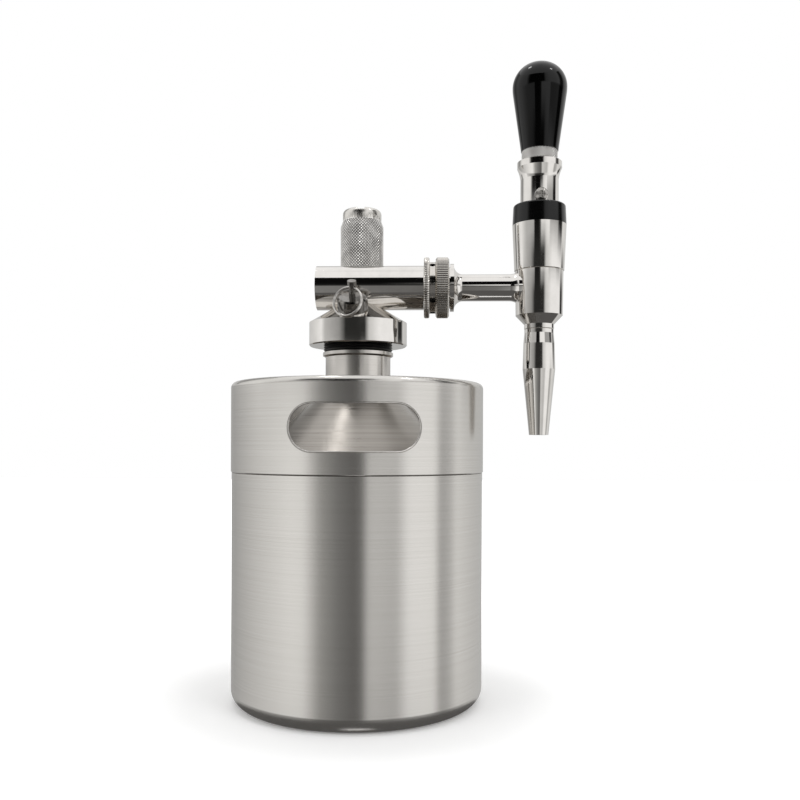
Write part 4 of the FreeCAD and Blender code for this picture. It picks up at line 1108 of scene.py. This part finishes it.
    def make_wall(self) -> None:
        """A round wall of soft boxes and dark flags that the polished parts mirror."""
        start_fresh()
        bpy.ops.mesh.primitive_cylinder_add(
            vertices=180, radius=self.wall_radius, depth=self.wall_top - self.wall_foot,
            location=(0, 0, (self.wall_top + self.wall_foot) / 2), end_fill_type="NOTHING",
        )
        wall = bpy.context.object
        wall.name = "studio_wall"
        material, tree, output = blank_material("soft_boxes")
        place = add_node(tree, "ShaderNodeTexCoord", {}, {})
        parts = add_node(tree, "ShaderNodeSeparateXYZ", {}, {"Vector": place.outputs["Object"]})
        front = add_node(tree, "ShaderNodeMath", {1: -1.0}, {0: parts.outputs["Y"]}, operation="MULTIPLY")
        angle = add_node(
            tree, "ShaderNodeMath", {}, {0: parts.outputs["X"], 1: front.outputs["Value"]}, operation="ARCTAN2"
        )
        part = add_node(
            tree, "ShaderNodeMapRange", {"From Min": -math.pi, "From Max": math.pi},
            {"Value": angle.outputs["Value"]},
        )
        shown: Optional[bpy.types.NodeSocket] = None
        for start, panels in self.PANEL_ROWS:
            ramp = add_node(tree, "ShaderNodeValToRGB", {}, {"Fac": part.outputs["Result"]})
            set_ramp(ramp, self.wall_stops(panels))
            if shown is None:
                shown = ramp.outputs["Color"]
                continue
            rise = add_node(
                tree, "ShaderNodeMapRange", {"From Min": start, "From Max": start + self.row_blend},
                {"Value": parts.outputs["Z"]},
            )
            # A mix's sockets 0, 6 and 7 are its share and its two colours, and output 2 the mixed colour
            mixed = add_node(
                tree, "ShaderNodeMix", {}, {0: rise.outputs["Result"], 6: shown, 7: ramp.outputs["Color"]},
                data_type="RGBA",
            )
            shown = mixed.outputs[2]
        glow = add_node(
            tree, "ShaderNodeEmission", {"Strength": self.panel_strength}, {"Color": shown}
        )
        tree.links.new(glow.outputs["Emission"], output.inputs["Surface"])
        wall.data.materials.append(material)
        wall.visible_camera = False
        wall.visible_shadow = False
        wall.visible_diffuse = False

    @staticmethod
    def wall_stops(panels: list[tuple[float, str]]) -> list[tuple[float, str]]:
        """Turn the panels' angles into stops from 0 to 1 round the wall."""
        return [((degrees + 180) / 360, code) for degrees, code in panels]

    def make_lamps(self) -> None:
        """Large soft lamps, and two small overhead ones that show as spots on the knob."""
        for name, place, size, power, mirrored in self.LAMPS:
            data = bpy.data.lights.new(name, "AREA")
            data.size = size
            data.energy = power
            lamp = bpy.data.objects.new(name, data)
            lamp.location = place
            lamp.rotation_euler = (self.lamp_aim - place).to_track_quat("-Z", "Y").to_euler()
            lamp.visible_glossy = mirrored
            bpy.context.collection.objects.link(lamp)


def main() -> None:
    """Build the studio, dress the nodes and model the detailed pieces."""
    logging.basicConfig(level=logging.INFO, format="%(name)s %(message)s")
    scene = bpy.context.scene
    scene.view_settings.view_transform = "Standard"
    Studio().build()
    paint = Paint()
    paint.dress_nodes()
    CartridgeSleeve(paint).build()
    CouplingNut(paint).build()
    HandleFerrule(paint).build()
    PullRing(paint).build()
    SeamLine(paint).build()
    SlotRims(paint).build()
    start_fresh()


if __name__ == "__main__":
    main()
